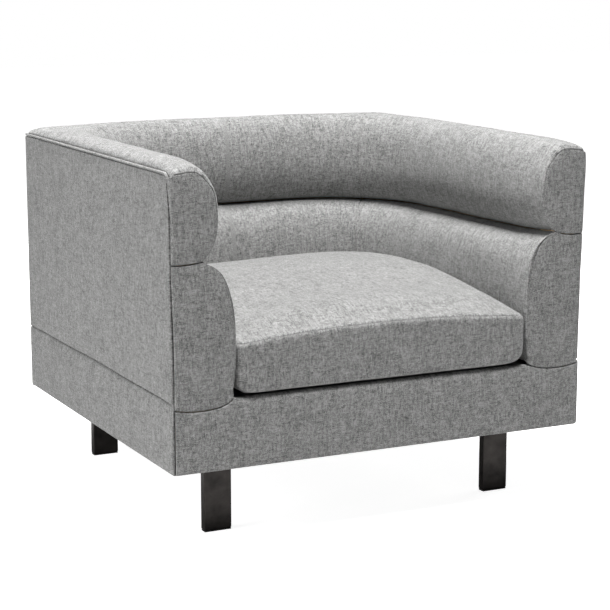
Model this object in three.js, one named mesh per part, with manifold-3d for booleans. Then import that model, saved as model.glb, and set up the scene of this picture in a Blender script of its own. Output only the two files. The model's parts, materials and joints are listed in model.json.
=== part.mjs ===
// Upholstered lounge armchair: a wooden box frame on four flat-bar steel legs, with padded
// outer panels, a horseshoe of two stacked bolsters round the seat, and a loose seat cushion.
// Millimetres. Seen from the front, X runs to the right, Y to the back and Z up. The origin is
// on the floor under the middle of the chair.
import * as THREE from 'three';
import { mergeVertices } from 'three/addons/utils/BufferGeometryUtils.js';
import Module from 'manifold-3d';

const wasm = await Module();
wasm.setup();

// ---------------------------------------------------------------- driving dimensions
const overallWidth = 940;
const overallDepth = 877;
const overallHeight = 772;
const baseUnderside = 158;      // where the legs end and the upholstered base begins
const baseTop = 300;            // seam between the base band and the outer panels
const bolsterSeam = 574;        // crease between the lower and the upper bolster
const panelTop = 743.7;         // top edge of the outer panels, just under the welt cord
const fit = 0.3;                // gap kept between touching pieces
const coverThickness = 12;      // cloth over a thin sheet of foam
const boardThickness = 15;      // plywood of the outer panels
const postThickness = 30;       // hardwood posts and top rails
const railThickness = 25;       // hardwood rails of the base
const creaseDepth = 75;         // from an outer face inward to the crease between bolsters
const cornerRadius = 225;       // inner rear corners of the horseshoe, measured on the crease
const armSetback = 2;           // the arm fronts stand this far behind the base front
const weltRadius = 3;           // cord sewn along the top edges of the outer panels
const boardTop = 735;           // top of the wooden frame

const halfWidth = overallWidth / 2;
const halfDepth = overallDepth / 2;
const armFront = -halfDepth + armSetback;

// Depths of the layers of an arm, counted inward from the outer face.
const boardOuter = coverThickness + fit;
const boardInner = boardOuter + boardThickness;
const postOuter = boardInner + fit;
const postInner = postOuter + postThickness;
const bolsterOuter = postInner + fit;
const layersFront = armFront + coverThickness + fit;   // everything behind the arm's end caps

const quarter = Math.PI / 2;
const eighth = Math.PI / 4;
const sides = [['left', -1], ['right', 1]];

// ---------------------------------------------------------------- colours
const cloth = { color: 0x8f8f8f, roughness: 0.95, metalness: 0 };
const timber = { color: 0xc9a877, roughness: 0.8, metalness: 0 };
const blackCloth = { color: 0x1c1c1c, roughness: 0.95, metalness: 0 };
const deckCloth = { color: 0x3a3a3a, roughness: 0.95, metalness: 0 };
const darkSteel = { color: 0x2c2825, roughness: 0.35, metalness: 0.9 };
const springSteel = { color: 0x8a8c8e, roughness: 0.4, metalness: 0.9 };
const glidePlastic = { color: 0x0d0d0d, roughness: 0.6, metalness: 0 };

// ---------------------------------------------------------------- helpers
const chair = new THREE.Group();

function addPart(name, geometry, finish) {
  const mesh = new THREE.Mesh(geometry, new THREE.MeshStandardMaterial(finish));
  mesh.name = name;
  chair.add(mesh);
}

// A closed geometry as a solid that can be joined and cut.
function toSolid(geometry) {
  const bare = geometry.clone();
  bare.deleteAttribute('normal');
  bare.deleteAttribute('uv');
  const merged = mergeVertices(bare, 1e-4);
  const vertProperties = new Float32Array(merged.attributes.position.array);
  const triVerts = new Uint32Array(merged.index.array);
  return new wasm.Manifold(new wasm.Mesh({ numProp: 3, vertProperties, triVerts }));
}

function toGeometry(solid) {
  const mesh = solid.getMesh();
  const geometry = new THREE.BufferGeometry();
  geometry.setAttribute('position', new THREE.BufferAttribute(mesh.vertProperties, 3));
  geometry.setIndex(new THREE.BufferAttribute(mesh.triVerts, 1));
  geometry.computeVertexNormals();
  return geometry;
}

// A box given by its lowest and highest corners.
function block(low, high) {
  const size = high.map((value, axis) => value - low[axis]);
  const middle = high.map((value, axis) => (value + low[axis]) / 2);
  return new THREE.BoxGeometry(...size).translate(...middle);
}

// The same box on the left (side -1) or the right (side 1), given by depths from that side.
function sideBlock(side, depths, lengths, heights) {
  const across = [side * (halfWidth - depths[0]), side * (halfWidth - depths[1])];
  across.sort((a, b) => a - b);
  return block([across[0], lengths[0], heights[0]], [across[1], lengths[1], heights[1]]);
}

// An outline drawn in plan and raised from one height to another.
function plank(outline, bottom, top) {
  const depth = top - bottom;
  const options = { depth, bevelEnabled: false, curveSegments: 6 };
  return new THREE.ExtrudeGeometry(outline, options).translate(0, 0, bottom);
}

// A path given by its stations: a place, and the two directions that a section is drawn in.
class StationPath extends THREE.Curve {
  constructor(stations) {
    super();
    this.stations = stations;
  }

  getSpacedPoints() {
    return this.stations.map((station) => station.place);
  }

  computeFrenetFrames() {
    const normals = this.stations.map((station) => station.first);
    const binormals = this.stations.map((station) => station.second);
    return { normals, binormals };
  }
}

function sweep(section, stations) {
  const options = { steps: stations.length - 1, extrudePath: new StationPath(stations) };
  return new THREE.ExtrudeGeometry(section, { ...options, curveSegments: 6 });
}

// ---------------------------------------------------------------- mitred covers
// Space for one side of a box-shaped cover: outer face at full length, mitred at both ends.
function coverSpace(turns) {
  const alongX = turns % 2 === 0;
  const half = (alongX ? halfWidth : halfDepth) - fit;
  const reach = alongX ? halfDepth : halfWidth;
  const inner = half - coverThickness;
  const outline = new THREE.Shape();
  outline.moveTo(-half, -reach);
  outline.lineTo(half, -reach);
  outline.lineTo(inner, -reach + coverThickness);
  outline.lineTo(-inner, -reach + coverThickness);
  return plank(outline, 0, overallHeight).rotateZ(turns * quarter);
}

// A cover drawn as an outline on its own face (across, up), turned to its side of the chair.
function mitredCover(outline, turns, setback = 0) {
  const reach = turns % 2 === 0 ? halfDepth : halfWidth;
  const options = { depth: coverThickness - setback, bevelEnabled: false, curveSegments: 8 };
  const sheet = new THREE.ExtrudeGeometry(outline, options);
  sheet.rotateX(quarter);
  sheet.translate(0, -reach + coverThickness, 0);
  sheet.rotateZ(turns * quarter);
  return toGeometry(toSolid(sheet).intersect(toSolid(coverSpace(turns))));
}

function rectangle(left, right, bottom, top) {
  const outline = new THREE.Shape();
  outline.moveTo(left, bottom);
  outline.lineTo(right, bottom);
  outline.lineTo(right, top);
  outline.lineTo(left, top);
  return outline;
}

const frontSide = 0;
const rightSide = 1;
const backSide = 2;
const leftSide = 3;

// The sagging seam under an arm's end cap: four control points as [depth, height].
const capSeam = { outer: [0, 293], dipOuter: [40, 282], dipInner: [90, 284], inner: [122, 302] };

// The base band: the front panel dips at both ends to take the arms' end caps.
function baseFrontOutline() {
  const { outer, dipOuter, dipInner, inner } = capSeam;
  const outline = new THREE.Shape();
  outline.moveTo(-halfWidth, baseUnderside);
  outline.lineTo(halfWidth, baseUnderside);
  outline.lineTo(halfWidth - outer[0], outer[1] - fit);
  outline.bezierCurveTo(
    halfWidth - dipOuter[0], dipOuter[1] - fit,
    halfWidth - dipInner[0], dipInner[1] - fit,
    halfWidth - inner[0], baseTop);
  outline.lineTo(-halfWidth + inner[0], baseTop);
  outline.bezierCurveTo(
    -halfWidth + dipInner[0], dipInner[1] - fit,
    -halfWidth + dipOuter[0], dipOuter[1] - fit,
    -halfWidth + outer[0], outer[1] - fit);
  return outline;
}

addPart('base_cover_front', mitredCover(baseFrontOutline(), frontSide), cloth);
const baseSide = rectangle(-halfDepth, halfDepth, baseUnderside, baseTop);
addPart('base_cover_right', mitredCover(baseSide, rightSide), cloth);
addPart('base_cover_left', mitredCover(baseSide, leftSide), cloth);
const baseBack = rectangle(-halfWidth, halfWidth, baseUnderside, baseTop);
addPart('base_cover_back', mitredCover(baseBack, backSide), cloth);

// ---------------------------------------------------------------- outer panels
const panelCornerRadius = 18;   // top front corner of a side panel, seen from the side

// The side panel's outline; frontward is -1 or 1, the way its front corner points.
function sidePanelOutline(frontward) {
  const front = frontward * -armFront;
  const cornerEnd = front - frontward * panelCornerRadius;
  const rear = -frontward * halfDepth;
  const outline = new THREE.Shape();
  outline.moveTo(rear, baseTop + fit);
  outline.lineTo(front, baseTop + fit);
  outline.lineTo(front, panelTop - panelCornerRadius);
  outline.quadraticCurveTo(front, panelTop, cornerEnd, panelTop);
  outline.lineTo(rear, panelTop);
  return outline;
}

addPart('outer_cover_right', mitredCover(sidePanelOutline(-1), rightSide), cloth);
addPart('outer_cover_left', mitredCover(sidePanelOutline(1), leftSide), cloth);
const backPanel = rectangle(-halfWidth, halfWidth, baseTop + fit, panelTop);
addPart('outer_cover_back', mitredCover(backPanel, backSide), cloth);

// ---------------------------------------------------------------- arm section
// The bolsters' profile as Bezier stretches of [depth from the outer face, height].
const crown = {
  widest: [99, 656],
  top: [45, overallHeight],
  shoulder: [20, overallHeight],
  flank: [6, 762],
  outerEdge: [3, 751],
};

// Each stretch is four control points, from the bottom of a bolster to its top.
const upperStretches = [
  [[creaseDepth, bolsterSeam], [80, 597], [99, 622], crown.widest],
  [crown.widest, [99, 712], [84, overallHeight], crown.top],
];
const lowerStretches = [
  [[120, baseTop + fit], [128, 312], [134, 366], [134, 415]],
  [[134, 415], [134, 490], [101, 557], [77, bolsterSeam - fit]],
];
const capTop = 747;
const capShoulder = 8;          // where the cap's flat top turns down to its outer edge
const upperCapStretches = [
  upperStretches[0],
  [crown.widest, [99, 700], [92, capTop], [63, capTop]],
];

// Draws the stretches on a shape, after turning each [depth, height] into the shape's own pair.
function drawStretches(shape, stretches, place) {
  for (const stretch of stretches) {
    const points = stretch.slice(1).map(place);
    shape.bezierCurveTo(...points.flat());
  }
}

// ---------------------------------------------------------------- front end caps
// The cap seen from the front, on the left (side -1) or the right (side 1).
function endCap(side, lower) {
  const place = ([depth, height]) => [side * (halfWidth - depth), height];
  const outline = new THREE.Shape();
  if (lower) {
    const seam = [capSeam.outer, capSeam.dipOuter, capSeam.dipInner, capSeam.inner];
    outline.moveTo(...place([0, bolsterSeam - fit]));
    outline.lineTo(...place(capSeam.outer));
    drawStretches(outline, [seam, ...lowerStretches], place);
  } else {
    outline.moveTo(...place([0, panelTop - panelCornerRadius / 2]));
    outline.lineTo(...place([0, bolsterSeam]));
    outline.lineTo(...place([creaseDepth, bolsterSeam]));
    drawStretches(outline, upperCapStretches, place);
    outline.lineTo(...place([capShoulder, capTop]));
  }
  return mitredCover(outline, frontSide, armSetback);
}

for (const [label, side] of sides) {
  addPart(`upper_end_cap_${label}`, endCap(side, false), cloth);
  addPart(`lower_end_cap_${label}`, endCap(side, true), cloth);
}

// ---------------------------------------------------------------- bolsters
const up = new THREE.Vector3(0, 0, 1);
const pathX = halfWidth - creaseDepth;
const pathY = halfDepth - creaseDepth;
const cornerSteps = 5;             // straight facets in half of a rear corner
const jointTurn = 0.002;           // half the gap at a corner seam, as an angle

// A station on the straight arm or back: its place and the way inward.
function straightStation(x, y, inwardX, inwardY) {
  const place = new THREE.Vector3(x, y, 0);
  return { place, first: up, second: new THREE.Vector3(inwardX, inwardY, 0) };
}

// Stations round a rear corner (side -1 or 1) between two angles of its quarter circle.
function cornerStations(side, fromAngle, toAngle) {
  const centre = new THREE.Vector3(side * (pathX - cornerRadius), pathY - cornerRadius, 0);
  const stations = [];
  for (let step = 0; step <= cornerSteps; step += 1) {
    const angle = fromAngle + (toAngle - fromAngle) * step / cornerSteps;
    const outward = new THREE.Vector3(Math.cos(angle), Math.sin(angle), 0);
    const place = outward.clone().multiplyScalar(cornerRadius).add(centre);
    stations.push({ place, first: up, second: outward.negate() });
  }
  return stations;
}

const bolsterRoutes = {
  left: [
    straightStation(-pathX, layersFront, 1, 0),
    ...cornerStations(-1, 2 * quarter, quarter + eighth + jointTurn),
  ],
  back: [
    ...cornerStations(-1, quarter + eighth - jointTurn, quarter),
    ...cornerStations(1, quarter, eighth + jointTurn),
  ],
  right: [
    ...cornerStations(1, eighth - jointTurn, 0),
    straightStation(pathX, layersFront, -1, 0),
  ],
};

// A bolster's section, drawn upward far past the outer face; the bolsters' room trims it.
function bolsterSection(stretches, bottom, top) {
  const beyond = -200;
  const place = ([depth, height]) => [height, depth - creaseDepth];
  const section = new THREE.Shape();
  section.moveTo(bottom, beyond);
  section.lineTo(bottom, stretches[0][0][0] - creaseDepth);
  drawStretches(section, stretches, place);
  section.lineTo(top, beyond);
  return section;
}

// The room for the bolsters: inside the frame, and over its top up to the covers' edges.
function bolsterRoom() {
  const frameTop = boardTop + fit;
  const weltTop = panelTop + 2 * (weltRadius + fit);
  const room = (inset, bottom) => {
    const low = [-halfWidth + inset, layersFront, bottom];
    const high = [halfWidth - inset, halfDepth - inset, overallHeight + 1];
    return toSolid(block(low, high));
  };
  const insideFrame = room(bolsterOuter, baseTop);
  const overFrame = room(boardOuter, frameTop);
  const overCovers = room(fit, weltTop);
  const walls = insideFrame.add(overFrame).add(overCovers);
  return walls.intersect(roof(halfWidth, halfWidth, 0)).intersect(roof(-layersFront, halfDepth, 1));
}

// The crowned top, drawn as an outline from one edge of the chair to the other.
function roof(lowReach, highReach, turns) {
  const low = ([depth, height]) => [-lowReach + depth, height];
  const high = ([depth, height]) => [highReach - depth, height];
  const { top, shoulder, flank, outerEdge } = crown;
  const outline = new THREE.Shape();
  outline.moveTo(...low([outerEdge[0], 0]));
  outline.lineTo(...low(outerEdge));
  outline.bezierCurveTo(...low(flank), ...low(shoulder), ...low(top));
  outline.lineTo(...high(top));
  outline.bezierCurveTo(...high(shoulder), ...high(flank), ...high(outerEdge));
  outline.lineTo(...high([outerEdge[0], 0]));
  const options = { depth: overallWidth, bevelEnabled: false, curveSegments: 6 };
  const prism = new THREE.ExtrudeGeometry(outline, options).translate(0, 0, -halfWidth);
  return toSolid(prism.rotateX(quarter).rotateZ(turns * quarter));
}

const room = bolsterRoom();
const upperSection = bolsterSection(upperStretches, bolsterSeam, overallHeight);
const lowerSection = bolsterSection(lowerStretches, baseTop + fit, bolsterSeam - fit);
for (const [label, stations] of Object.entries(bolsterRoutes)) {
  const upper = toSolid(sweep(upperSection, stations)).intersect(room);
  const lower = toSolid(sweep(lowerSection, stations)).intersect(room);
  addPart(`upper_bolster_${label}`, toGeometry(upper), cloth);
  addPart(`lower_bolster_${label}`, toGeometry(lower), cloth);
}

// ---------------------------------------------------------------- welt cords
const weltHeight = panelTop + fit + weltRadius;
const weltInset = weltRadius + fit;

// A cord that starts at the origin and runs along +Y.
function straightCord(length) {
  const facets = 10;
  const cord = new THREE.CylinderGeometry(weltRadius, weltRadius, length, facets);
  return cord.translate(0, length / 2, 0);
}

const sideCordLength = halfDepth - fit - layersFront;
for (const [label, side] of sides) {
  const cord = straightCord(sideCordLength);
  cord.translate(side * (halfWidth - weltInset), layersFront, weltHeight);
  addPart(`welt_${label}`, cord, cloth);
}
const backCordLength = overallWidth - 4 * weltInset;
const backCord = straightCord(backCordLength).rotateZ(-quarter);
backCord.translate(-backCordLength / 2, halfDepth - weltInset, weltHeight);
addPart('welt_back', backCord, cloth);

// ---------------------------------------------------------------- base frame
const railBottom = 160;
const railTop = 287;
const railOuter = boardOuter;
const railInner = railOuter + railThickness;
const railsFront = -halfDepth + railOuter;
const railsBack = halfDepth - railOuter;

for (const [label, side] of sides) {
  const lengths = [railsFront, railsBack];
  const rail = sideBlock(side, [railOuter, railInner], lengths, [railBottom, railTop]);
  addPart(`side_rail_${label}`, rail, timber);
}
const crossHalf = halfWidth - railInner - fit;
addPart('front_rail', block(
  [-crossHalf, railsFront, railBottom],
  [crossHalf, railsFront + railThickness, railTop]), timber);
addPart('back_rail', block(
  [-crossHalf, railsBack - railThickness, railBottom],
  [crossHalf, railsBack, railTop]), timber);

// ---------------------------------------------------------------- legs
const legWidth = 60;
const legThickness = 20;
const legOuterX = 360;                       // outer edge of each leg
const frontLegY = -halfDepth + 117;          // middle of the flat bar
const rearLegY = halfDepth - 105;
const glideHeight = 3;
const plate = { length: 110, width: 70, thickness: 5 };
const plateTop = baseUnderside - fit;
const plateBottom = plateTop - plate.thickness;
const legBeam = { width: 80, thickness: 40 };
const bolt = { radius: 4, holeRadius: 4.4, headRadius: 7.5, headHeight: 5.3, grip: 30, spacing: 84 };
const overlap = 1;                           // how far joined or cutting shapes run into others
const legX = legOuterX - legWidth / 2;

// A round bar or hole standing on Z between two heights.
function upright(x, y, radius, bottom, top, sides) {
  const bar = new THREE.CylinderGeometry(radius, radius, top - bottom, sides);
  return bar.rotateX(quarter).translate(x, y, (top + bottom) / 2);
}

const boltPlaces = (x, y) => [[x - bolt.spacing / 2, y], [x + bolt.spacing / 2, y]];
const legPlaces = [
  ['front_left', -legX, frontLegY],
  ['front_right', legX, frontLegY],
  ['rear_left', -legX, rearLegY],
  ['rear_right', legX, rearLegY],
];
const allBoltPlaces = legPlaces.flatMap(([, x, y]) => boltPlaces(x, y));

// The solid with a bolt hole through it at each place that it covers.
function drilled(geometry, bottom, top) {
  let solid = toSolid(geometry);
  for (const [x, y] of allBoltPlaces) {
    solid = solid.subtract(toSolid(upright(x, y, bolt.holeRadius, bottom, top, 12)));
  }
  return toGeometry(solid);
}

function leg(x, y) {
  const bar = block(
    [x - legWidth / 2, y - legThickness / 2, glideHeight + fit],
    [x + legWidth / 2, y + legThickness / 2, plateBottom + overlap]);
  const top = block(
    [x - plate.length / 2, y - plate.width / 2, plateBottom],
    [x + plate.length / 2, y + plate.width / 2, plateTop]);
  const welded = toGeometry(toSolid(bar).add(toSolid(top)));
  return drilled(welded, plateBottom - overlap, plateTop + overlap);
}

function glide(x, y) {
  return block(
    [x - legWidth / 2, y - legThickness / 2, 0],
    [x + legWidth / 2, y + legThickness / 2, glideHeight]);
}

function legBolt(x, y) {
  const headTop = plateBottom - fit;
  const headBottom = headTop - bolt.headHeight;
  const head = upright(x, y, bolt.headRadius, headBottom, headTop, 6);
  const shank = upright(x, y, bolt.radius, headTop - overlap, headTop + bolt.grip, 10);
  return toGeometry(toSolid(head).add(toSolid(shank)));
}

for (const [label, x, y] of legPlaces) {
  addPart(`leg_${label}`, leg(x, y), darkSteel);
  addPart(`glide_${label}`, glide(x, y), glidePlastic);
  boltPlaces(x, y).forEach(([boltX, boltY], index) => {
    addPart(`bolt_${label}_${index + 1}`, legBolt(boltX, boltY), springSteel);
  });
}

for (const [label, y] of [['front', frontLegY], ['rear', rearLegY]]) {
  const beam = block(
    [-crossHalf, y - legBeam.width / 2, railBottom],
    [crossHalf, y + legBeam.width / 2, railBottom + legBeam.thickness]);
  const holed = drilled(beam, railBottom - overlap, railBottom + bolt.grip);
  addPart(`leg_beam_${label}`, holed, timber);
}

// The black cloth that closes the underside of the base.
const dustCoverHalfX = halfWidth - coverThickness - fit;
const dustCoverHalfY = halfDepth - coverThickness - fit;
const dustCover = block(
  [-dustCoverHalfX, -dustCoverHalfY, baseUnderside],
  [dustCoverHalfX, dustCoverHalfY, railBottom - fit]);
const holedCover = drilled(dustCover, baseUnderside - overlap, railBottom + overlap);
addPart('dust_cover', holedCover, blackCloth);

// ---------------------------------------------------------------- arm and back frame
const frameBottom = railTop + fit;
const topRailHeight = 36;
const postLength = 60;
const postTop = boardTop - topRailHeight - fit;
const layersBack = halfDepth - boardOuter;

for (const [label, side] of sides) {
  const lengths = [layersFront, layersBack];
  const frontPost = [layersFront, layersFront + postLength];
  const boardDepths = [boardOuter, boardInner];
  const postDepths = [postOuter, postInner];
  const backOfPosts = halfDepth - postOuter;
  const rearPost = [backOfPosts - postLength, backOfPosts];
  const postHeights = [frameBottom, postTop];
  const topRailHeights = [boardTop - topRailHeight, boardTop];
  const board = sideBlock(side, boardDepths, lengths, [frameBottom, boardTop]);
  const topRail = sideBlock(side, postDepths, [layersFront, backOfPosts], topRailHeights);
  addPart(`side_board_${label}`, board, timber);
  addPart(`front_post_${label}`, sideBlock(side, postDepths, frontPost, postHeights), timber);
  addPart(`rear_post_${label}`, sideBlock(side, postDepths, rearPost, postHeights), timber);
  addPart(`arm_top_rail_${label}`, topRail, timber);
}
const backBoardHalf = halfWidth - boardInner - fit;
addPart('back_board', block(
  [-backBoardHalf, layersBack - boardThickness, frameBottom],
  [backBoardHalf, layersBack, boardTop]), timber);
const backRailHalf = halfWidth - postInner - fit;
addPart('back_top_rail', block(
  [-backRailHalf, halfDepth - postInner, boardTop - topRailHeight],
  [backRailHalf, halfDepth - postOuter, boardTop]), timber);

// ---------------------------------------------------------------- seat
// A wavy flat spring of round wire that spans the seat from the front rail to the back rail.
class WavyWire extends THREE.Curve {
  constructor(x, height) {
    super();
    this.x = x;
    this.height = height;
  }

  getPoint(t) {
    const waves = 11;
    const sway = 24;
    const start = railsFront + railThickness + 2;
    const end = -start;
    const x = this.x + sway * Math.sin(2 * Math.PI * waves * t);
    return new THREE.Vector3(x, start + (end - start) * t, this.height);
  }
}

const wireRadius = 2;
const springHeight = railTop - wireRadius - overlap;
const springPlaces = [-300, -150, 0, 150, 300];
springPlaces.forEach((x, index) => {
  const section = new THREE.Shape();
  section.absarc(0, 0, wireRadius, 0, 2 * Math.PI);
  const options = { steps: 55, curveSegments: 3, extrudePath: new WavyWire(x, springHeight) };
  const wire = new THREE.ExtrudeGeometry(section, options);
  addPart(`seat_spring_${index + 1}`, wire, springSteel);
});

// The padded deck that the loose cushion lies on.
addPart('seat_deck', block(
  [-backRailHalf, railsFront, frameBottom],
  [backRailHalf, layersBack - boardThickness - fit, baseTop - fit]), deckCloth);

// The loose cushion: its plan follows the horseshoe, a little clear of it all round.
const cushion = { halfWidth: 333, rear: 302, bottom: 303, top: 452, edge: 14 };
const cushionCorner = cornerRadius - 60;   // follows the lower bolster's rounded corner

function seatCushion() {
  const { edge } = cushion;
  const right = cushion.halfWidth - edge;
  const rear = cushion.rear - edge;
  const front = armFront + edge;
  const radius = cushionCorner - edge;
  const outline = new THREE.Shape();
  outline.moveTo(-right, front);
  outline.lineTo(right, front);
  outline.lineTo(right, rear - radius);
  outline.absarc(right - radius, rear - radius, radius, 0, quarter);
  outline.absarc(-right + radius, rear - radius, radius, quarter, 2 * quarter);
  const options = {
    depth: cushion.top - cushion.bottom - 2 * edge,
    bevelThickness: edge,
    bevelSize: edge,
    bevelSegments: 3,
    curveSegments: 6,
  };
  const pad = new THREE.ExtrudeGeometry(outline, options);
  return pad.translate(0, 0, cushion.bottom + edge);
}

addPart('seat_cushion', seatCushion(), cloth);

export default chair;
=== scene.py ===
import json
import math

import bmesh
import bpy
from mathutils import Matrix, Vector, geometry, noise


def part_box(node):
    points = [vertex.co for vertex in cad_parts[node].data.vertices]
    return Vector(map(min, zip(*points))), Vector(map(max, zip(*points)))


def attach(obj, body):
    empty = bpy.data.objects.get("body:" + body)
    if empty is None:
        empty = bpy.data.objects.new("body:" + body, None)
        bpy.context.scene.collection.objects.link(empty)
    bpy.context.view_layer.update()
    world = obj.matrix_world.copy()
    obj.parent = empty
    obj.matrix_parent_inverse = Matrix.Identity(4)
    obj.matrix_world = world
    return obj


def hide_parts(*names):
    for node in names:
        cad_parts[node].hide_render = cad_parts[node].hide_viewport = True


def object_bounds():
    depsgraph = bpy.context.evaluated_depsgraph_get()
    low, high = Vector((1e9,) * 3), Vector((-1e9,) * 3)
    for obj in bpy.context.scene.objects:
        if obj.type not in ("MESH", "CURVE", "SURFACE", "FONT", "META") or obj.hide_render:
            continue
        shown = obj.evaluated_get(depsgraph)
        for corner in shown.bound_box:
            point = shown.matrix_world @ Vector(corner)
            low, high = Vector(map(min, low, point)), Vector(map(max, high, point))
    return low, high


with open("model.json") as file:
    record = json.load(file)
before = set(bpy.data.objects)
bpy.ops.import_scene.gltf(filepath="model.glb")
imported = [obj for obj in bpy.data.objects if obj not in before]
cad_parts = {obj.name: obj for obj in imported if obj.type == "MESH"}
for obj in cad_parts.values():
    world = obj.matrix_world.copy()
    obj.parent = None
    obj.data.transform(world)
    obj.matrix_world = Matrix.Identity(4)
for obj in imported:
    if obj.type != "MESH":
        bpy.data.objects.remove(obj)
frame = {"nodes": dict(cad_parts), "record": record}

CAD_LOW, CAD_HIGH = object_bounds()

bl_info = {
    "name": "Upholstered armchair",
    "version": (1, 0, 0),
    "blender": (4, 5, 0),
    "location": "View3D > Sidebar > Armchair",
    "description": "Builds a boxy lounge armchair with stacked bolsters round a CAD frame",
    "category": "Add Mesh",
}

# ------------------------------------------------------------------ places read from the frame
HALF_WIDTH = CAD_HIGH.x
HALF_DEPTH = CAD_HIGH.y
BASE_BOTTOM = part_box("base_cover_left")[0].z
BASE_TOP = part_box("base_cover_left")[1].z
PANEL_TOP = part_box("outer_cover_left")[1].z
BOLSTER_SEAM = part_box("upper_bolster_left")[0].z
CROWN_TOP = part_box("upper_bolster_left")[1].z
ARM_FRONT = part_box("upper_end_cap_left")[0].y
HIDDEN_DEPTH = HALF_WIDTH - abs(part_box("lower_bolster_left")[0].x)
CREASE_DEPTH = 0.075
WELT_LOW, WELT_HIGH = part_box("welt_left")

SIDES = (("left", -1), ("right", 1))
CAP_LIFT = 0.006
CORNER_GAP = 0.0016
SEAM_GAP = 0.0004
WELT_SEAM = 0.74
PANEL_WALL = 0.0115
PANEL_BULGE = 0.004
BAND_BULGE = 0.0025
SIDE_BAND_BULGE = 0.0045
CAP_BULGE = 0.0035
BAND_ROLL_START = 0.112
SWEEP_STEP = 0.011


# ------------------------------------------------------------------ sizes and colours
class ArmchairSizes(bpy.types.PropertyGroup):
    corner_radius: bpy.props.FloatProperty(
        name="Corner radius", default=0.235, unit="LENGTH",
        description="Radius of the horseshoe's rear corners, on the crease between the bolsters")
    upper_roll: bpy.props.FloatProperty(
        name="Upper roll", default=0.0105, unit="LENGTH",
        description="Radius that the upper bolster turns through at an arm's front, up to the cap")
    lower_roll: bpy.props.FloatProperty(
        name="Lower roll", default=0.0035, unit="LENGTH",
        description="Radius that the lower bolster turns through at an arm's front, up to the cap")
    corner_roll: bpy.props.FloatProperty(
        name="Corner roll", default=0.008, unit="LENGTH",
        description="Radius of the soft vertical corners at the front")
    seam_radius: bpy.props.FloatProperty(
        name="Seam radius", default=0.0025, unit="LENGTH",
        description="Radius that cloth turns through where it goes into a seam")
    ripple: bpy.props.FloatProperty(
        name="Ripple", default=0.0009, unit="LENGTH",
        description="How far the padded surfaces wander from their true shape")
    cushion_seam: bpy.props.FloatProperty(
        name="Cushion seam height", default=0.407, unit="LENGTH",
        description="Height of the seam at the front corners of the seat cushion")
    cushion_crown: bpy.props.FloatProperty(
        name="Cushion crown", default=0.018, unit="LENGTH",
        description="How far the middle of the cushion's front seam stands above its corners")


class ArmchairLooks(bpy.types.PropertyGroup):
    cloth_dark: bpy.props.FloatVectorProperty(
        name="Dark yarn", default=(0.055, 0.055, 0.0542), subtype="COLOR",
        description="Colour of the darkest yarns of the cloth")
    cloth_light: bpy.props.FloatVectorProperty(
        name="Light yarn", default=(0.345, 0.345, 0.339), subtype="COLOR",
        description="Colour of the lightest yarns of the cloth")
    yarn_pitch: bpy.props.FloatProperty(
        name="Yarn pitch", default=0.0018, unit="LENGTH",
        description="Distance from one yarn of the cloth to the next")
    metal: bpy.props.FloatVectorProperty(
        name="Leg metal", default=(0.026, 0.023, 0.0215), subtype="COLOR",
        description="Colour of the dark satin metal of the legs")


class ArmchairStudio(bpy.types.PropertyGroup):
    camera_place: bpy.props.FloatVectorProperty(
        name="Camera place", default=(-1.7966, -3.7104, 1.1715), subtype="TRANSLATION",
        description="Where the camera stands")
    camera_aim: bpy.props.FloatVectorProperty(
        name="Camera aim", default=(0.43386, 0.88122, -0.18763), subtype="DIRECTION",
        description="The way the camera looks")
    lens: bpy.props.FloatProperty(
        name="Lens", default=110.95, unit="CAMERA",
        description="Focal length on a 36 mm wide sensor")


# ------------------------------------------------------------------ small shape helpers
def lerp(a, b, t):
    """From a at t = 0 to b at t = 1."""
    return a + (b - a) * t


def clamp01(t):
    return max(0.0, min(1.0, t))


def ease(t):
    """From 0 to 1 with a soft start and end."""
    t = clamp01(t)
    return t * t * (3 - 2 * t)


def edge_drop(distance, radius):
    """How far a surface has turned down, this far in from an edge with a round of this radius."""
    if radius <= 0 or distance >= radius:
        return 0.0
    reach = radius - max(distance, 0.0)
    return radius - math.sqrt(max(radius * radius - reach * reach, 0.0))


def crowd(t, strength=0.86):
    """Spreads 0..1 so that steps are short near both ends."""
    return t - strength * math.sin(2 * math.pi * t) / (2 * math.pi)


def wander(point, size, amount):
    """Smooth unevenness, the same at the same place on every run."""
    return noise.noise(Vector(point) / size) * amount


def bezier(points, steps):
    """Points along a cubic curve given by four control points (depth, height)."""
    knots = [Vector((p[0], p[1], 0)) for p in points]
    return [(v.x, v.y) for v in geometry.interpolate_bezier(*knots, steps)]


def at_depth(curve, depth):
    """Height of a curve, listed as (depth, height) points of growing depth, at a depth."""
    if depth <= curve[0][0]:
        return curve[0][1]
    for (d0, z0), (d1, z1) in zip(curve, curve[1:]):
        if depth <= d1:
            return lerp(z0, z1, (depth - d0) / max(d1 - d0, 1e-9))
    return curve[-1][1]


# ------------------------------------------------------------------ the arm's profile
WIDEST_UPPER = (0.1015, 0.656)
WIDEST_LOWER = (0.1370, 0.420)
CROWN = (0.045, CROWN_TOP - 0.001)
CREASE_ARMS = BOLSTER_SEAM - 0.0005
CREASE_BACK_DIP = 0.006
UPPER_INNER = (
    bezier([(0.0845, 0.5912), (0.094, 0.606), (0.1015, 0.626), WIDEST_UPPER], 10)
    + bezier([WIDEST_UPPER, (0.1015, 0.712), (0.086, CROWN[1]), CROWN], 16)[1:])
UPPER_OUTER = bezier([CROWN, (0.018, CROWN[1]), (0.0052, 0.764), (0.0050, 0.7505)], 9)[1:]
LOWER_INNER = (
    bezier([(0.122, BASE_TOP), (0.133, 0.312), (0.137, 0.366), WIDEST_LOWER], 12)
    + bezier([WIDEST_LOWER, (0.137, 0.488), (0.122, 0.541), (0.097, 0.5585)], 14)[1:])
UPPER_TUCK = [(0.048, 0.5728), (0.060, 0.5738), (0.0700, 0.5780), (0.0785, 0.5844)]
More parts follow.
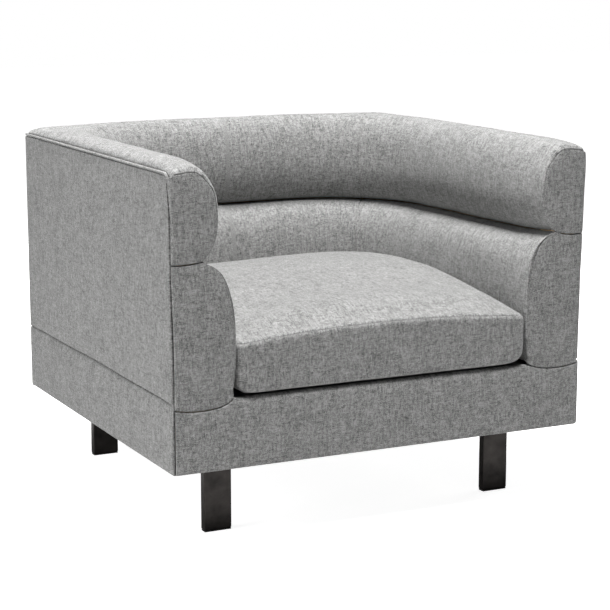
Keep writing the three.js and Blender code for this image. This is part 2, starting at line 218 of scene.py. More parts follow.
LOWER_TUCK = [(0.0880, 0.5640), (0.0780, 0.5682), (0.0660, 0.5718), (0.050, 0.5738)]
LOWER_SEAM_HEIGHTS = (0.30, 0.38, 0.42, 0.46, 0.50, 0.54)
UPPER_SEAM_HEIGHTS = (0.60, 0.64, 0.66, 0.68, 0.70, 0.72)
CAP_SEAM = bezier([(0.0, 0.290), (0.040, 0.280), (0.090, 0.280), (0.118, 0.292)], 12)


def corner_seam(height):
    """Where the seam of the soft front corner lies, as a length round the corner from the front."""
    return -0.0045 - 0.0055 * ease((height - 0.380) / 0.200) - 0.0100 * ease((height - 0.660) / 0.090)


def outward_lean(side, depth, y, height):
    """How far the right arm's outside stands out, more towards its top and its front."""
    if side < 0:
        return 0.0
    rise = ease((height - BASE_TOP) / 0.45)
    return 0.0065 * rise * clamp01(1 - depth / 0.07) * ease((0.10 - y) / 0.50)


def side_seam_bow(y):
    """How far the seam over the base band bows up on the sides, as slack cloth does."""
    share = clamp01((y + HALF_DEPTH) / (2 * HALF_DEPTH))
    return 0.0035 * math.sin(math.pi * share) + 0.0008 * math.sin(5 * math.pi * share)


def crease_shift(side, run):
    """How far the crease departs from its height on the arms: lower at the back, and
    creeping up at the right arm's front, as the maker sewed it."""
    shift = -CREASE_BACK_DIP * ease((run - 0.30) / 0.30)
    if side > 0:
        shift += 0.009 * clamp01(1 - run / 0.16) ** 2 - 0.003 * math.exp(-((run - 0.30) / 0.12) ** 2)
    else:
        shift += 0.003 * clamp01(1 - run / 0.16) ** 2
    return shift


def inset_section(points, roll):
    """The section moved inwards, square to itself, by the roll at each height."""
    moved = []
    for index, (depth, height) in enumerate(points):
        d0, z0 = points[max(index - 1, 0)]
        d1, z1 = points[min(index + 1, len(points) - 1)]
        length = math.hypot(d1 - d0, z1 - z0)
        amount = front_roll(roll, depth, height)
        moved.append((depth - amount * (z1 - z0) / length, height + amount * (d1 - d0) / length))
    return moved


def crown_fall(side, run, height):
    """How far the crown has fallen by this far from an arm's front."""
    fall = 0.0065 if side > 0 else 0.0105
    return fall * clamp01(1 - run / 0.105) ** 2 * ease((height - 0.690) / 0.060)


def front_roll(roll, depth, height):
    """The roll at an arm's front: full on the crown, tighter down the inside and at the crease."""
    tight = lerp(0.0015, min(roll, 0.0042), ease(abs(height - CREASE_ARMS) / 0.070))
    crown = ease((height - 0.715) / 0.045) * ease((depth - 0.006) / 0.014)
    return lerp(tight, roll, crown)


# ------------------------------------------------------------------ mesh helpers
def smooth_piece(piece, levels):
    """Adds a subdivision surface, the same in the view and in a render."""
    modifier = piece.modifiers.new("Smooth", "SUBSURF")
    modifier.levels = levels
    modifier.render_levels = levels


def finish_mesh(bm, name, material, body="chair", subdivide=0):
    """Turns a bmesh into a smooth object with its finish, riding on a body."""
    mesh = bpy.data.meshes.new(name)
    bm.to_mesh(mesh)
    bm.free()
    piece = bpy.data.objects.new(name, mesh)
    bpy.context.scene.collection.objects.link(piece)
    mesh.materials.append(material)
    mesh.polygons.foreach_set("use_smooth", [True] * len(mesh.polygons))
    if subdivide:
        smooth_piece(piece, subdivide)
    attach(piece, body)
    return piece


def padded_cover(bm, name, node):
    """Turns a bmesh into a cloth-covered padded piece that stands for a CAD node."""
    piece = finish_mesh(bm, name, cloth_material(), subdivide=1)
    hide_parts(node)


def store_cloth_map(bm, places):
    """Writes a UV map in metres, from each vertex's place on the flat cloth."""
    layer = bm.loops.layers.uv.new("cloth")
    for face in bm.faces:
        for loop in face.loops:
            loop[layer].uv = places[loop.vert]


def open_border(bm):
    return [edge for edge in bm.edges if edge.is_boundary]


def extrude_edges(bm, edges):
    """Extrudes open edges; returns the new vertices and the new edges between them."""
    result = bmesh.ops.extrude_edge_only(bm, edges=edges)
    verts = [item for item in result["geom"] if isinstance(item, bmesh.types.BMVert)]
    fresh = set(verts)
    ring = [item for item in result["geom"] if isinstance(item, bmesh.types.BMEdge)
            and all(vert in fresh for vert in item.verts)]
    return verts, ring


def fill_ring(bm, ring):
    """Closes an open ring of edges with triangles."""
    filled = bmesh.ops.edgeloop_fill(bm, edges=ring)
    bmesh.ops.triangulate(bm, faces=filled["faces"])


def close_border(bm, places, offset):
    """Extrudes the open border and fills it, so that the piece is one closed body.

    offset(place) is how far the border moves, by each vertex's place on the flat cloth."""
    fresh, rim = extrude_edges(bm, open_border(bm))
    for vert in fresh:
        source = min(
            (edge.other_vert(vert) for edge in vert.link_edges if edge.other_vert(vert) in places),
            key=lambda other: (other.co - vert.co).length)
        places[vert] = places[source]
    for vert in fresh:
        vert.co += offset(places[vert])
    fill_ring(bm, rim)
    bmesh.ops.recalc_face_normals(bm, faces=bm.faces)


def line(start, end):
    """A straight side of a panel, as a function of 0..1."""
    return lambda t: (lerp(start[0], end[0], t), lerp(start[1], end[1], t))


def curve(points):
    """A curved side of a panel through some points, as a function of 0..1 along its length."""
    lengths = [0.0]
    for before, after in zip(points, points[1:]):
        lengths.append(lengths[-1] + math.dist(before, after))

    def at(t):
        goal = clamp01(t) * lengths[-1]
        for index in range(1, len(points)):
            if goal <= lengths[index] or index == len(points) - 1:
                span = max(lengths[index] - lengths[index - 1], 1e-9)
                part = clamp01((goal - lengths[index - 1]) / span)
                (x0, y0), (x1, y1) = points[index - 1], points[index]
                return lerp(x0, x1, part), lerp(y0, y1, part)
    return at


def rectangle(half, bottom, top):
    """The left, right, bottom and top sides of a straight panel on the chair's middle."""
    return (line((-half, bottom), (-half, top)), line((half, bottom), (half, top)),
            line((-half, bottom), (half, bottom)), line((-half, top), (half, top)))


def back_place(across, height, out):
    """Puts a point of a panel on the chair's flat back."""
    return Vector((across, HALF_DEPTH + out, height))


def bowed_seam(start, end, height):
    """The seam over the base band on a side face, as points from its rear to its front."""
    points = [(lerp(start, end, step / 24), height) for step in range(25)]
    return [(across, z + side_seam_bow(ARM_FRONT - across)) for across, z in points]


def upholstered_plate(place, sides, radii, bulge, cells, seed, ripple, wall=PANEL_WALL):
    """A stretched panel of cloth over padding, as a bmesh.

    place(across, height, out) puts a point in the chair; sides are the panel's left, right,
    bottom and top edges; radii(across) are what the cloth turns through at each of them, and
    bulge(s, t) is how far the panel stands out."""
    left, right, bottom, top = sides
    corners = (bottom(0), bottom(1), top(0), top(1))
    bm = bmesh.new()
    bmesh.ops.create_grid(bm, x_segments=cells[0], y_segments=cells[1], size=0.5)
    flat = {}
    for vert in bm.verts:
        s, t = crowd(vert.co.x + 0.5), crowd(vert.co.y + 0.5)
        edges = (left(t), right(t), bottom(s), top(s))
        weights = (1 - s, s, 1 - t, t)
        shares = ((1 - s) * (1 - t), s * (1 - t), (1 - s) * t, s * t)
        across, height = (
            sum(w * e[axis] for w, e in zip(weights, edges))
            - sum(w * c[axis] for w, c in zip(shares, corners)) for axis in (0, 1))
        gaps = [math.hypot(across - e[0], height - e[1]) for e in edges]
        turns = radii(across)
        drop = min(sum(edge_drop(gap, turn) for gap, turn in zip(gaps, turns)), max(turns) * 1.15)
        calm = clamp01(min(gaps) / 0.03)
        out = bulge(s, t) - drop
        out += calm * wander((across + seed, height, seed), 0.11, ripple)
        vert.co = place(across, height, out)
        flat[vert] = (across, height)
    close_border(bm, flat, lambda spot: place(*spot, -wall) - place(*spot, 0))
    store_cloth_map(bm, flat)
    return bm


def corner_skin(side, front, radius):
    """Lays (across, height, out) on a side face that turns the soft corner onto the front:
    across is 0 where the front's flat begins, grows inwards and is negative on the side."""
    def place(across, height, out):
        turn = min(max(-across / radius, 0.0), math.pi / 2)
        beyond = max(-across - radius * math.pi / 2, 0.0)
        x = HALF_WIDTH - radius + (radius + out) * math.sin(turn) - max(across, 0.0)
        y = front + radius - (radius + out) * math.cos(turn) + beyond
        x += outward_lean(side, max(across + radius, 0.0), y, height)
        return Vector((side * x, y, height))
    return place


def even_bulge(height):
    """A bulge that is full over most of the panel and fades towards its seams."""
    def bulge(s, t):
        return height * (1 - (2 * s - 1) ** 4) * (1 - (2 * t - 1) ** 4)
    return bulge


# ------------------------------------------------------------------ node helpers
def new_material(name):
    """A material with only a Principled shader and its output."""
    material = bpy.data.materials.new(name)
    material.use_nodes = True
    nodes = material.node_tree.nodes
    nodes.clear()
    output = nodes.new("ShaderNodeOutputMaterial")
    shader = nodes.new("ShaderNodeBsdfPrincipled")
    material.node_tree.links.new(shader.outputs["BSDF"], output.inputs["Surface"])
    return material, shader


def math_node(tree, operation, *values, clamp=False):
    """A Math node; a value is a number or another node's output."""
    node = tree.nodes.new("ShaderNodeMath")
    node.operation = operation
    node.use_clamp = clamp
    for index, value in enumerate(values):
        if isinstance(value, (int, float)):
            node.inputs[index].default_value = value
        else:
            tree.links.new(value, node.inputs[index])
    return node.outputs["Value"]


def noise_node(tree, vector, scale, detail=2.0, roughness=0.5):
    node = tree.nodes.new("ShaderNodeTexNoise")
    node.noise_dimensions = "3D"
    node.inputs["Scale"].default_value = scale
    node.inputs["Detail"].default_value = detail
    node.inputs["Roughness"].default_value = roughness
    tree.links.new(vector, node.inputs["Vector"])
    return node.outputs["Fac"]


def ramp_node(tree, value, low, high, span=(0.0, 1.0)):
    """A colour that goes from low to high as the value crosses the span."""
    node = tree.nodes.new("ShaderNodeValToRGB")
    for index, color in enumerate((low, high)):
        node.color_ramp.elements[index].position = span[index]
        node.color_ramp.elements[index].color = (*color, 1)
    tree.links.new(value, node.inputs["Fac"])
    return node.outputs["Color"]


def bump_node(tree, height, strength, distance):
    node = tree.nodes.new("ShaderNodeBump")
    node.inputs["Strength"].default_value = strength
    node.inputs["Distance"].default_value = distance
    tree.links.new(height, node.inputs["Height"])
    return node.outputs["Normal"]


def rescale(tree, value, start, gain):
    """start + gain * value."""
    return math_node(tree, "ADD", start, math_node(tree, "MULTIPLY", value, gain))


def dress(tree, shader, **sources):
    """Links outputs to the shader's sockets, named with _ for a space."""
    for name, source in sources.items():
        tree.links.new(source, shader.inputs[name.replace("_", " ")])


def place_on_object(tree):
    return tree.nodes.new("ShaderNodeTexCoord").outputs["Object"]


def weave_node(tree, pitch, slub):
    """The weave group on the piece's own cloth map; returns the group and the map."""
    uv = tree.nodes.new("ShaderNodeUVMap")
    uv.uv_map = "cloth"
    weave = tree.nodes.new("ShaderNodeGroup")
    weave.node_tree = woven_cloth_group()
    weave.inputs["Yarn pitch"].default_value = pitch
    weave.inputs["Slub length"].default_value = slub
    tree.links.new(uv.outputs["UV"], weave.inputs["Place"])
    return weave, uv.outputs["UV"]


def combine(tree, x, y, z=0.0):
    node = tree.nodes.new("ShaderNodeCombineXYZ")
    for socket, value in zip(node.inputs, (x, y, z)):
        if isinstance(value, (int, float)):
            socket.default_value = value
        else:
            tree.links.new(value, socket)
    return node.outputs["Vector"]


def new_group(name, inputs, outputs):
    """A shader node group; inputs are (name, type, default) and outputs (name, type)."""
    group = bpy.data.node_groups.new(name, "ShaderNodeTree")
    for label, kind, default in inputs:
        socket = group.interface.new_socket(name=label, in_out="INPUT", socket_type=kind)
        if default is not None:
            socket.default_value = default
    for label, kind in outputs:
        group.interface.new_socket(name=label, in_out="OUTPUT", socket_type=kind)
    return group, group.nodes.new("NodeGroupInput"), group.nodes.new("NodeGroupOutput")


# ------------------------------------------------------------------ cloth
SLUB_LENGTH = 0.008


def woven_cloth_group():
    """Plain weave: place on the cloth in metres in, yarn shade and yarn height out."""
    name = "Plain weave"
    if name in bpy.data.node_groups:
        return bpy.data.node_groups[name]
    inputs = [
        ("Place", "NodeSocketVector", None),
        ("Yarn pitch", "NodeSocketFloat", 0.0017),
        ("Slub length", "NodeSocketFloat", 0.014),
    ]
    outputs = [("Shade", "NodeSocketFloat"), ("Height", "NodeSocketFloat")]
    group, source, sink = new_group(name, inputs, outputs)
    split = group.nodes.new("ShaderNodeSeparateXYZ")
    group.links.new(source.outputs["Place"], split.inputs["Vector"])
    u, v = split.outputs["X"], split.outputs["Y"]
    pitch, slub = source.outputs["Yarn pitch"], source.outputs["Slub length"]

    # The yarns wander a little, so the weave isn't a perfect grid.
    sway = noise_node(group, source.outputs["Place"], 90.0, 1.0)
    sway = math_node(group, "MULTIPLY", math_node(group, "SUBTRACT", sway, 0.5), 0.9)
    warp_place = math_node(group, "ADD", math_node(group, "DIVIDE", u, pitch), sway)
    weft_place = math_node(group, "ADD", math_node(group, "DIVIDE", v, pitch), sway)
    warp_index = math_node(group, "FLOOR", warp_place)
    weft_index = math_node(group, "FLOOR", weft_place)
    warp_across = math_node(group, "FRACT", warp_place)
    weft_across = math_node(group, "FRACT", weft_place)

    def yarn_shade(index, along, salt):
        """Each yarn has its own tone, which changes slowly along it as the slubs do."""
        length = math_node(group, "DIVIDE", along, slub)
        fine = noise_node(group, combine(group, math_node(group, "MULTIPLY", index, 5.37),
                                         length, salt), 1.0, 2.0, 0.55)
        pair = math_node(group, "FLOOR", math_node(group, "MULTIPLY", index, 0.5))
        wide = noise_node(group, combine(group, math_node(group, "MULTIPLY", pair, 3.71),
                                         math_node(group, "MULTIPLY", length, 0.30),
                                         salt + 9.0), 1.0, 2.0)
        return math_node(group, "ADD", math_node(group, "MULTIPLY", fine, 0.64),
                         math_node(group, "MULTIPLY", wide, 0.36))

    warp_shade = yarn_shade(warp_index, v, 1.3)
    weft_shade = yarn_shade(weft_index, u, 4.1)
    parity = math_node(group, "MODULO", math_node(
        group, "ABSOLUTE", math_node(group, "ADD", warp_index, weft_index)), 2.0)

    def on_top(warp, weft):
        """The value of the yarn on top, which alternates from crossing to crossing."""
        return math_node(group, "ADD", math_node(group, "MULTIPLY", warp, parity),
                         math_node(group, "MULTIPLY", weft,
                                   math_node(group, "SUBTRACT", 1.0, parity)))

    def arch(across):
        return math_node(group, "SINE", math_node(group, "MULTIPLY", across, math.pi))

    def yarn_height(across_arch, along_arch):
        """Round across the yarn, and dipping to the crossings along it."""
        return math_node(group, "MULTIPLY", math_node(group, "POWER", across_arch, 0.6),
                         rescale(group, along_arch, 0.5, 0.5))

    warp_arch, weft_arch = arch(warp_across), arch(weft_across)
    height = on_top(yarn_height(warp_arch, weft_arch), yarn_height(weft_arch, warp_arch))
    group.links.new(on_top(warp_shade, weft_shade), sink.inputs["Shade"])
    group.links.new(height, sink.inputs["Height"])
    return group


def cloth_material():
    """Mid-grey melange cloth with light and dark yarns and a little sheen, with painted shade in the gaps
    between the yarns.
    """
    name = "Grey melange cloth"
    if name in bpy.data.materials:
        return bpy.data.materials[name]
    looks = bpy.context.scene.armchair_looks
    material, shader = new_material(name)
    tree = material.node_tree
    weave, place = weave_node(tree, looks.yarn_pitch, SLUB_LENGTH)
    blotch = noise_node(tree, place, 16.0, 1.0, 0.5)
    blotch = math_node(tree, "MULTIPLY", math_node(tree, "SUBTRACT", blotch, 0.5), 0.05)
    shade = math_node(tree, "ADD", weave.outputs["Shade"], blotch)
    # Painted shade: the colour is darker where the yarn height dips into the gaps between yarns, and a
    # little lighter on the yarns' tops.
    gaps = math_node(tree, "MULTIPLY", math_node(tree, "SUBTRACT", weave.outputs["Height"], 0.6), 0.22)
    shade = math_node(tree, "ADD", shade, gaps)
    dress(tree, shader,
          Base_Color=ramp_node(tree, shade, looks.cloth_dark, looks.cloth_light, (0.37, 0.63)),
          Roughness=rescale(tree, weave.outputs["Height"], 0.80, 0.12),
          Normal=bump_node(tree, weave.outputs["Height"], 0.55, 0.0006))
    shader.inputs["Sheen Weight"].default_value = 0.18
    shader.inputs["Sheen Roughness"].default_value = 0.5
    shader.inputs["Specular IOR Level"].default_value = 0.25
    return material


# ------------------------------------------------------------------ bolsters
def upper_loop():
    """The upper bolster's closed section, as (depth, height) points, from the crease up."""
    behind = [(0.0056, 0.7480), (0.0072, 0.7455), (0.0092, 0.7420), (0.0135, 0.7385),
              (0.030, 0.7365), (HIDDEN_DEPTH, 0.734), (HIDDEN_DEPTH, 0.690), (HIDDEN_DEPTH, 0.630)]
    return UPPER_TUCK + UPPER_INNER + UPPER_OUTER + behind


def lower_loop():
    """The lower bolster's closed section, as (depth, height) points, from the base up."""
    foot = [(HIDDEN_DEPTH, 0.400), (HIDDEN_DEPTH, BASE_TOP + 0.0005), (0.090, BASE_TOP + 0.0005),
            (0.113, BASE_TOP + 0.001)]
    behind = [(HIDDEN_DEPTH, 0.540), (HIDDEN_DEPTH, 0.470)]
    return foot + LOWER_INNER[1:] + LOWER_TUCK + behind


def ring_of(bm, loop, put):
    """Starts a sweep: the closed section as edges, with each point's length round the section."""
    girth = bm.verts.layers.float.new("girth")
    verts, length, before = [], 0.0, None
    for point in loop:
        vert = bm.verts.new(put(point))
        if before is not None:
            length += math.dist(before, point)
        vert[girth] = length
        before = point
        verts.append(vert)
    return [bm.edges.new((a, b)) for a, b in zip(verts, verts[1:] + verts[:1])]


def extrude_ring(bm, ring, step):
    verts, ring = extrude_edges(bm, ring)
    bmesh.ops.translate(bm, verts=verts, vec=step)
    return ring


def spin_to_seam(bm, ring, centre, way):
    """Sweeps the section round a rear corner to the seam at its middle, finely near the seam."""
    close = math.radians(2.4)
    for angle, steps in ((math.pi / 4 - close, 15), (close, 4)):
        verts = {vert for edge in ring for vert in edge.verts}
        made = bmesh.ops.spin(bm, geom=[*verts, *ring], cent=centre, axis=(0, 0, 1),
                              angle=way * angle, steps=steps, use_merge=False,
                              use_normal_flip=False, use_duplicate=False)
        ring = [item for item in made["geom_last"] if isinstance(item, bmesh.types.BMEdge)]


def arm_sweep(loop, sizes, roll):
    """The right arm's length of a bolster, from the front to the seam in the rear corner."""
    bm = bmesh.new()
    put = lambda point: (HALF_WIDTH - point[0], ARM_FRONT, point[1])
    ring = ring_of(bm, loop, put)
    front_steps = [roll * t for t in (0.05, 0.1, 0.15, 0.2, 0.25, 0.25)]
    centre_y = HALF_DEPTH - CREASE_DEPTH - sizes.corner_radius
    rest = centre_y - ARM_FRONT - roll
    count = round(rest / SWEEP_STEP)
    for step in front_steps + [rest / count] * count:
        ring = extrude_ring(bm, ring, (0, step, 0))
    centre = (HALF_WIDTH - CREASE_DEPTH - sizes.corner_radius, centre_y, 0)
    spin_to_seam(bm, ring, centre, 1)
    return bm


def back_sweep(loop, sizes):
    """The back's length of a bolster, between the seams in the two rear corners."""
    bm = bmesh.new()
    put = lambda point: (0, HALF_DEPTH - point[0], point[1])
    ring = ring_of(bm, loop, put)
    centre_x = HALF_WIDTH - CREASE_DEPTH - sizes.corner_radius
    count = round(centre_x / SWEEP_STEP)
    for _ in range(count):
        ring = extrude_ring(bm, ring, (centre_x / count, 0, 0))
    centre = (centre_x, HALF_DEPTH - CREASE_DEPTH - sizes.corner_radius, 0)
    spin_to_seam(bm, ring, centre, -1)
    bmesh.ops.mirror(bm, geom=[*bm.verts, *bm.edges, *bm.faces], axis="X", merge_dist=1e-5)
    return bm


def along_horseshoe(point, sizes):
    """(run, turn, outward): how far round from the arm's front, the corner angle, the way out."""
    radius = sizes.corner_radius
    centre = Vector((HALF_WIDTH - CREASE_DEPTH - radius, HALF_DEPTH - CREASE_DEPTH - radius, 0))
    side = 1 if point.x >= 0 else -1
    x, y = abs(point.x), point.y
    straight = centre.y - ARM_FRONT
    if y <= centre.y:
        return y - ARM_FRONT, 0.0, Vector((side, 0, 0))
    if x <= centre.x:
        return straight + radius * math.pi / 2 + centre.x - x, math.pi / 2, Vector((0, 1, 0))
    angle = math.atan2(y - centre.y, x - centre.x)
    return straight + radius * angle, angle, Vector((side * math.cos(angle), math.sin(angle), 0))


def shape_bolster(bm, sizes, part, lower, roll):
    """Fills the square rear corners, rounds the ends into their seams and adds softness."""
    radius = sizes.corner_radius
    centre_x = HALF_WIDTH - CREASE_DEPTH - radius
    centre_y = HALF_DEPTH - CREASE_DEPTH - radius
    seam_run = centre_y - ARM_FRONT + radius * math.pi / 4
    crest_reach = radius + CREASE_DEPTH - CROWN[0]
    edge_reach = radius + CREASE_DEPTH - UPPER_OUTER[-1][0]
    girth_layer = bm.verts.layers.float["girth"]
    bmesh.ops.remove_doubles(bm, verts=bm.verts, dist=1e-6)
    bmesh.ops.recalc_face_normals(bm, faces=bm.faces)
    bm.normal_update()
    flat = {}
    moves = []
    for vert in bm.verts:
        run, turn, outward = along_horseshoe(vert.co, sizes)
        side = 1 if vert.co.x >= 0 else -1
        girth = vert[girth_layer]
        flat[vert] = (run if part != "back" else side * run, girth)
        place = vert.co.copy()
        if 0 < turn < math.pi / 2:
            centre = Vector((side * centre_x, centre_y, 0))
            reach = (Vector((place.x, place.y, 0)) - centre).length
            if reach > crest_reach:
                stretch = edge_reach / max(math.cos(turn), math.sin(turn)) - crest_reach
                stretch /= edge_reach - crest_reach
                new_reach = crest_reach + (reach - crest_reach) * stretch
                place = centre + outward * new_reach + Vector((0, 0, place.z))
        inset = 0.3 * edge_drop(abs(run - seam_run), 0.005)
        normal = vert.normal.copy()
        if part != "back":
            here = front_roll(roll, HALF_WIDTH - abs(vert.co.x), place.z)
            inset += edge_drop(run, here)
            normal.y = 0 if run < here else normal.y
            normal.normalize()
        if not lower:
            place.z -= crown_fall(side, run, place.z)
        place.z += crease_shift(side, run) * math.exp(-((vert.co.z - CREASE_ARMS) / 0.055) ** 2)
        if turn == 0:
            place.x += outward_lean(side, HALF_WIDTH - abs(place.x), place.y, place.z)
        soft = wander((side * run + 1.0, girth, 3.0 + lower), 0.10, sizes.ripple)
        soft += wander((side * run * 1.7 + 5.0, girth * 1.3, 8.0), 0.035, sizes.ripple * 0.35)
        if lower and side > 0:
            soft += 0.005 * math.exp(-((vert.co.z - 0.525) / 0.035) ** 2) * clamp01(1 - run / 0.5)
        moves.append((vert, place - normal * (inset - soft), normal))
    inwards = {}
    for vert, place, normal in moves:
        vert.co = place
        inwards[vert] = -normal
    fresh, rims = extrude_edges(bm, open_border(bm))
    for vert in fresh:
        source = next(edge.other_vert(vert) for edge in vert.link_edges
                      if edge.other_vert(vert) in inwards)
        run, _, outward = along_horseshoe(vert.co, sizes)
        side = 1 if vert.co.x >= 0 else -1
        along = Vector((-outward.y, outward.x, 0)) * side
        if run < 0.1:
            vert.co += along * 0.004
            flat[vert] = (flat[source][0] - 0.004, flat[source][1])
        else:
            beyond = -1 if part == "back" else 1
            vert.co += along * beyond * 0.0012 + inwards[source] * 0.0035
            turned = beyond * (side if part == "back" else 1)
            flat[vert] = (flat[source][0] + turned * 0.0037, flat[source][1])
        vert[girth_layer] = source[girth_layer]
    fill_ring(bm, rims)
    bmesh.ops.recalc_face_normals(bm, faces=bm.faces)
    store_cloth_map(bm, flat)


class ARMCHAIR_OT_bolsters(bpy.types.Operator):
    """Makes the two stacked bolsters of the arms and back, each sewn from three lengths"""
    bl_idname = "armchair.bolsters"
    bl_label = "Bolsters"

    def execute(self, context):
        sizes = context.scene.armchair_sizes
        levels = (("upper", upper_loop(), sizes.upper_roll), ("lower", lower_loop(), sizes.lower_roll))
        for level, loop, roll in levels:
            for part in ("right", "left", "back"):
                bm = back_sweep(loop, sizes) if part == "back" else arm_sweep(loop, sizes, roll)
                if part == "left":
                    bmesh.ops.scale(bm, verts=bm.verts, vec=(-1, 1, 1))
                shape_bolster(bm, sizes, part, level == "lower", roll)
                node = f"{level}_bolster_{part}"
                padded_cover(bm, f"{node}_cover", node)
        return {"FINISHED"}


# ------------------------------------------------------------------ end caps
def end_cap(side, lower, sizes):
    """The sewn panel on an arm's front, which meets the rolled front edge of its bolster."""
    roll = sizes.lower_roll if lower else sizes.upper_roll
    skin = corner_skin(side, ARM_FRONT, sizes.corner_roll)
    to_across = lambda points: [(depth - sizes.corner_roll, height) for depth, height in points]
    gap = CORNER_GAP
    crease = CREASE_ARMS + 0.0005
    apart = -0.0009 if lower else 0.0009
    rise = crease_shift(side, 0.0)

    def crease_line(start, end):
        """The seam between the two caps: a little slack, and up at its inner end on one arm."""
        points = []
        for step in range(13):
            t = step / 12
            across = lerp(start, end, t)
            slack = 0.0012 * math.sin(math.pi * t) + (0.0012 if side < 0 else 0.0) * (1 - t)
            points.append((across, crease - slack + apart + rise * t ** 3))
        return curve(points)

    if lower:
        lift = CAP_LIFT if side > 0 else 0.0
        foot, tuck = 0.325, 0.0745
        inner = [p for p in inset_section(LOWER_INNER + LOWER_TUCK, roll)
                 if p[1] > foot and p[0] > tuck]
        inner = [(d, z + rise * ease((z - 0.52) / 0.05)) for d, z in inner]
        inner.append((0.070, crease + apart + rise))
        inner = to_across(inner)
        bottom = to_across([(d, z + lift) for d, z in CAP_SEAM] + [(0.1255, 0.298 + lift / 2)])
        inner = to_across([(0.1305, 0.3065 + lift / 2)]) + inner
        start = (corner_seam(0.29) + gap, bottom[0][1])
        bottom = [start] + [p for p in bottom if p[0] > start[0] + 0.004]
        inner = [bottom[-1]] + inner
        left = [(corner_seam(z) + gap, z) for z in LOWER_SEAM_HEIGHTS]
        top = crease_line(corner_seam(crease) + gap, inner[-1][0])
        sides = (curve([bottom[0]] + left + [top(0)]), curve(inner), curve(bottom), top)
    else:
        ring = inset_section(UPPER_TUCK[1:] + UPPER_INNER + UPPER_OUTER, roll)
        ring = [(d, z + rise * ease((0.63 - z) / 0.05)) for d, z in ring]
        ring = to_across([(d, z - crown_fall(side, 0.0, z)) for d, z in ring])
        shoulder = max(range(len(ring)), key=lambda i: ring[i][0] + 1.4 * ring[i][1])
        tuck = 0.062
        inner = [p for p in ring[:shoulder + 1] if p[0] > tuck or p[1] > WIDEST_UPPER[1]]
        inner = [(tuck, crease + apart + rise)] + inner
        top = [p for p in ring[shoulder:] if p[0] > 0.010][::-1]
        shoulder_rise = 0.003 if side > 0 else 0.0
        top = [(corner_seam(WELT_SEAM) + gap, 0.7375 + shoulder_rise),
               (corner_seam(WELT_SEAM) * 0.6, 0.7420 + shoulder_rise), (0.0, 0.7462 + shoulder_rise)] + top
        bottom = crease_line(corner_seam(crease) + gap, inner[0][0])
        left = [(corner_seam(z) + gap, z) for z in UPPER_SEAM_HEIGHTS]
        sides = (curve([bottom(0)] + left + [top[0]]), curve(inner), bottom, curve(top))

    turn = sizes.seam_radius
    inner_turn = 0.0009 if lower else 0.0016
    return upholstered_plate(skin, sides, lambda across: (turn + 0.001, inner_turn, turn, turn),
                             even_bulge(CAP_BULGE), (34, 50 if lower else 34),
                             5.0 + side + lower, sizes.ripple * 0.6)


class ARMCHAIR_OT_end_caps(bpy.types.Operator):
    """Makes the sewn end caps on the arms' fronts"""
    bl_idname = "armchair.end_caps"
    bl_label = "End caps"

    def execute(self, context):
        sizes = context.scene.armchair_sizes
        for label, side in SIDES:
            for level, lower in (("upper", False), ("lower", True)):
                bm = end_cap(side, lower, sizes)
                node = f"{level}_end_cap_{label}"
                padded_cover(bm, f"{node}_cover", node)
        return {"FINISHED"}


# ------------------------------------------------------------------ outer panels
class ARMCHAIR_OT_outer_panels(bpy.types.Operator):
    """Makes the flat padded panels on the outside of the arms and the back"""
    bl_idname = "armchair.outer_panels"
    bl_label = "Outer panels"

    def execute(self, context):
        sizes = context.scene.armchair_sizes
        bottom, top = BASE_TOP + SEAM_GAP, PANEL_TOP + 0.0005
        corner = 0.016
        turn = sizes.seam_radius
        rear = -(sizes.corner_roll * (math.pi / 2 - 1) + HALF_DEPTH - ARM_FRONT) + SEAM_GAP
        front_top = corner_seam(WELT_SEAM) - CORNER_GAP
        front = [(corner_seam(z) - CORNER_GAP, z) for z in
                 (bottom, 0.38, 0.42, 0.46, 0.50, 0.54, 0.58, 0.64, 0.68, 0.70, 0.72, top - corner)]
        crest = [(front_top - corner * (1 - math.cos(a)), top - corner + corner * math.sin(a))
                 for a in (step * math.pi / 16 for step in range(9))]
        low = bowed_seam(rear, front[0][0], bottom)
        front[0] = low[-1]
        sides = (line(low[0], (rear, top)), curve(front), curve(low),
                 curve([(rear, top)] + crest[::-1]))
        for label, side in SIDES:
            skin = corner_skin(side, ARM_FRONT, sizes.corner_roll)
            bm = upholstered_plate(skin, sides, lambda across: (turn, turn + 0.001, turn, turn),
                                   even_bulge(PANEL_BULGE), (96, 50), 11.0 + side, sizes.ripple)
            padded_cover(bm, f"outer_panel_{label}", f"outer_cover_{label}")

        sides = rectangle(HALF_WIDTH - SEAM_GAP, bottom, top)
        bm = upholstered_plate(back_place, sides, lambda across: (turn, turn, turn, turn),
                               even_bulge(PANEL_BULGE), (96, 50), 17.0, sizes.ripple)
        padded_cover(bm, "outer_panel_back", "outer_cover_back")
        return {"FINISHED"}


# ------------------------------------------------------------------ base band
def front_band_top(across):
    """Height of the front band's top edge: it dips under the arms' end caps."""
    depth = HALF_WIDTH - abs(across)
    lift = CAP_LIFT if across > 0 else 0.0
    dip = at_depth(CAP_SEAM, depth) + lift
    return lerp(dip - 0.0010, BASE_TOP + 0.001, ease((depth - BAND_ROLL_START) / 0.022)) - 0.0005


def front_band_radius(across):
    """The band rolls softly over the seat's front edge and is flat under the end caps."""
    depth = HALF_WIDTH - abs(across)
    return lerp(0.0025, 0.012, ease((depth - BAND_ROLL_START) / 0.03))


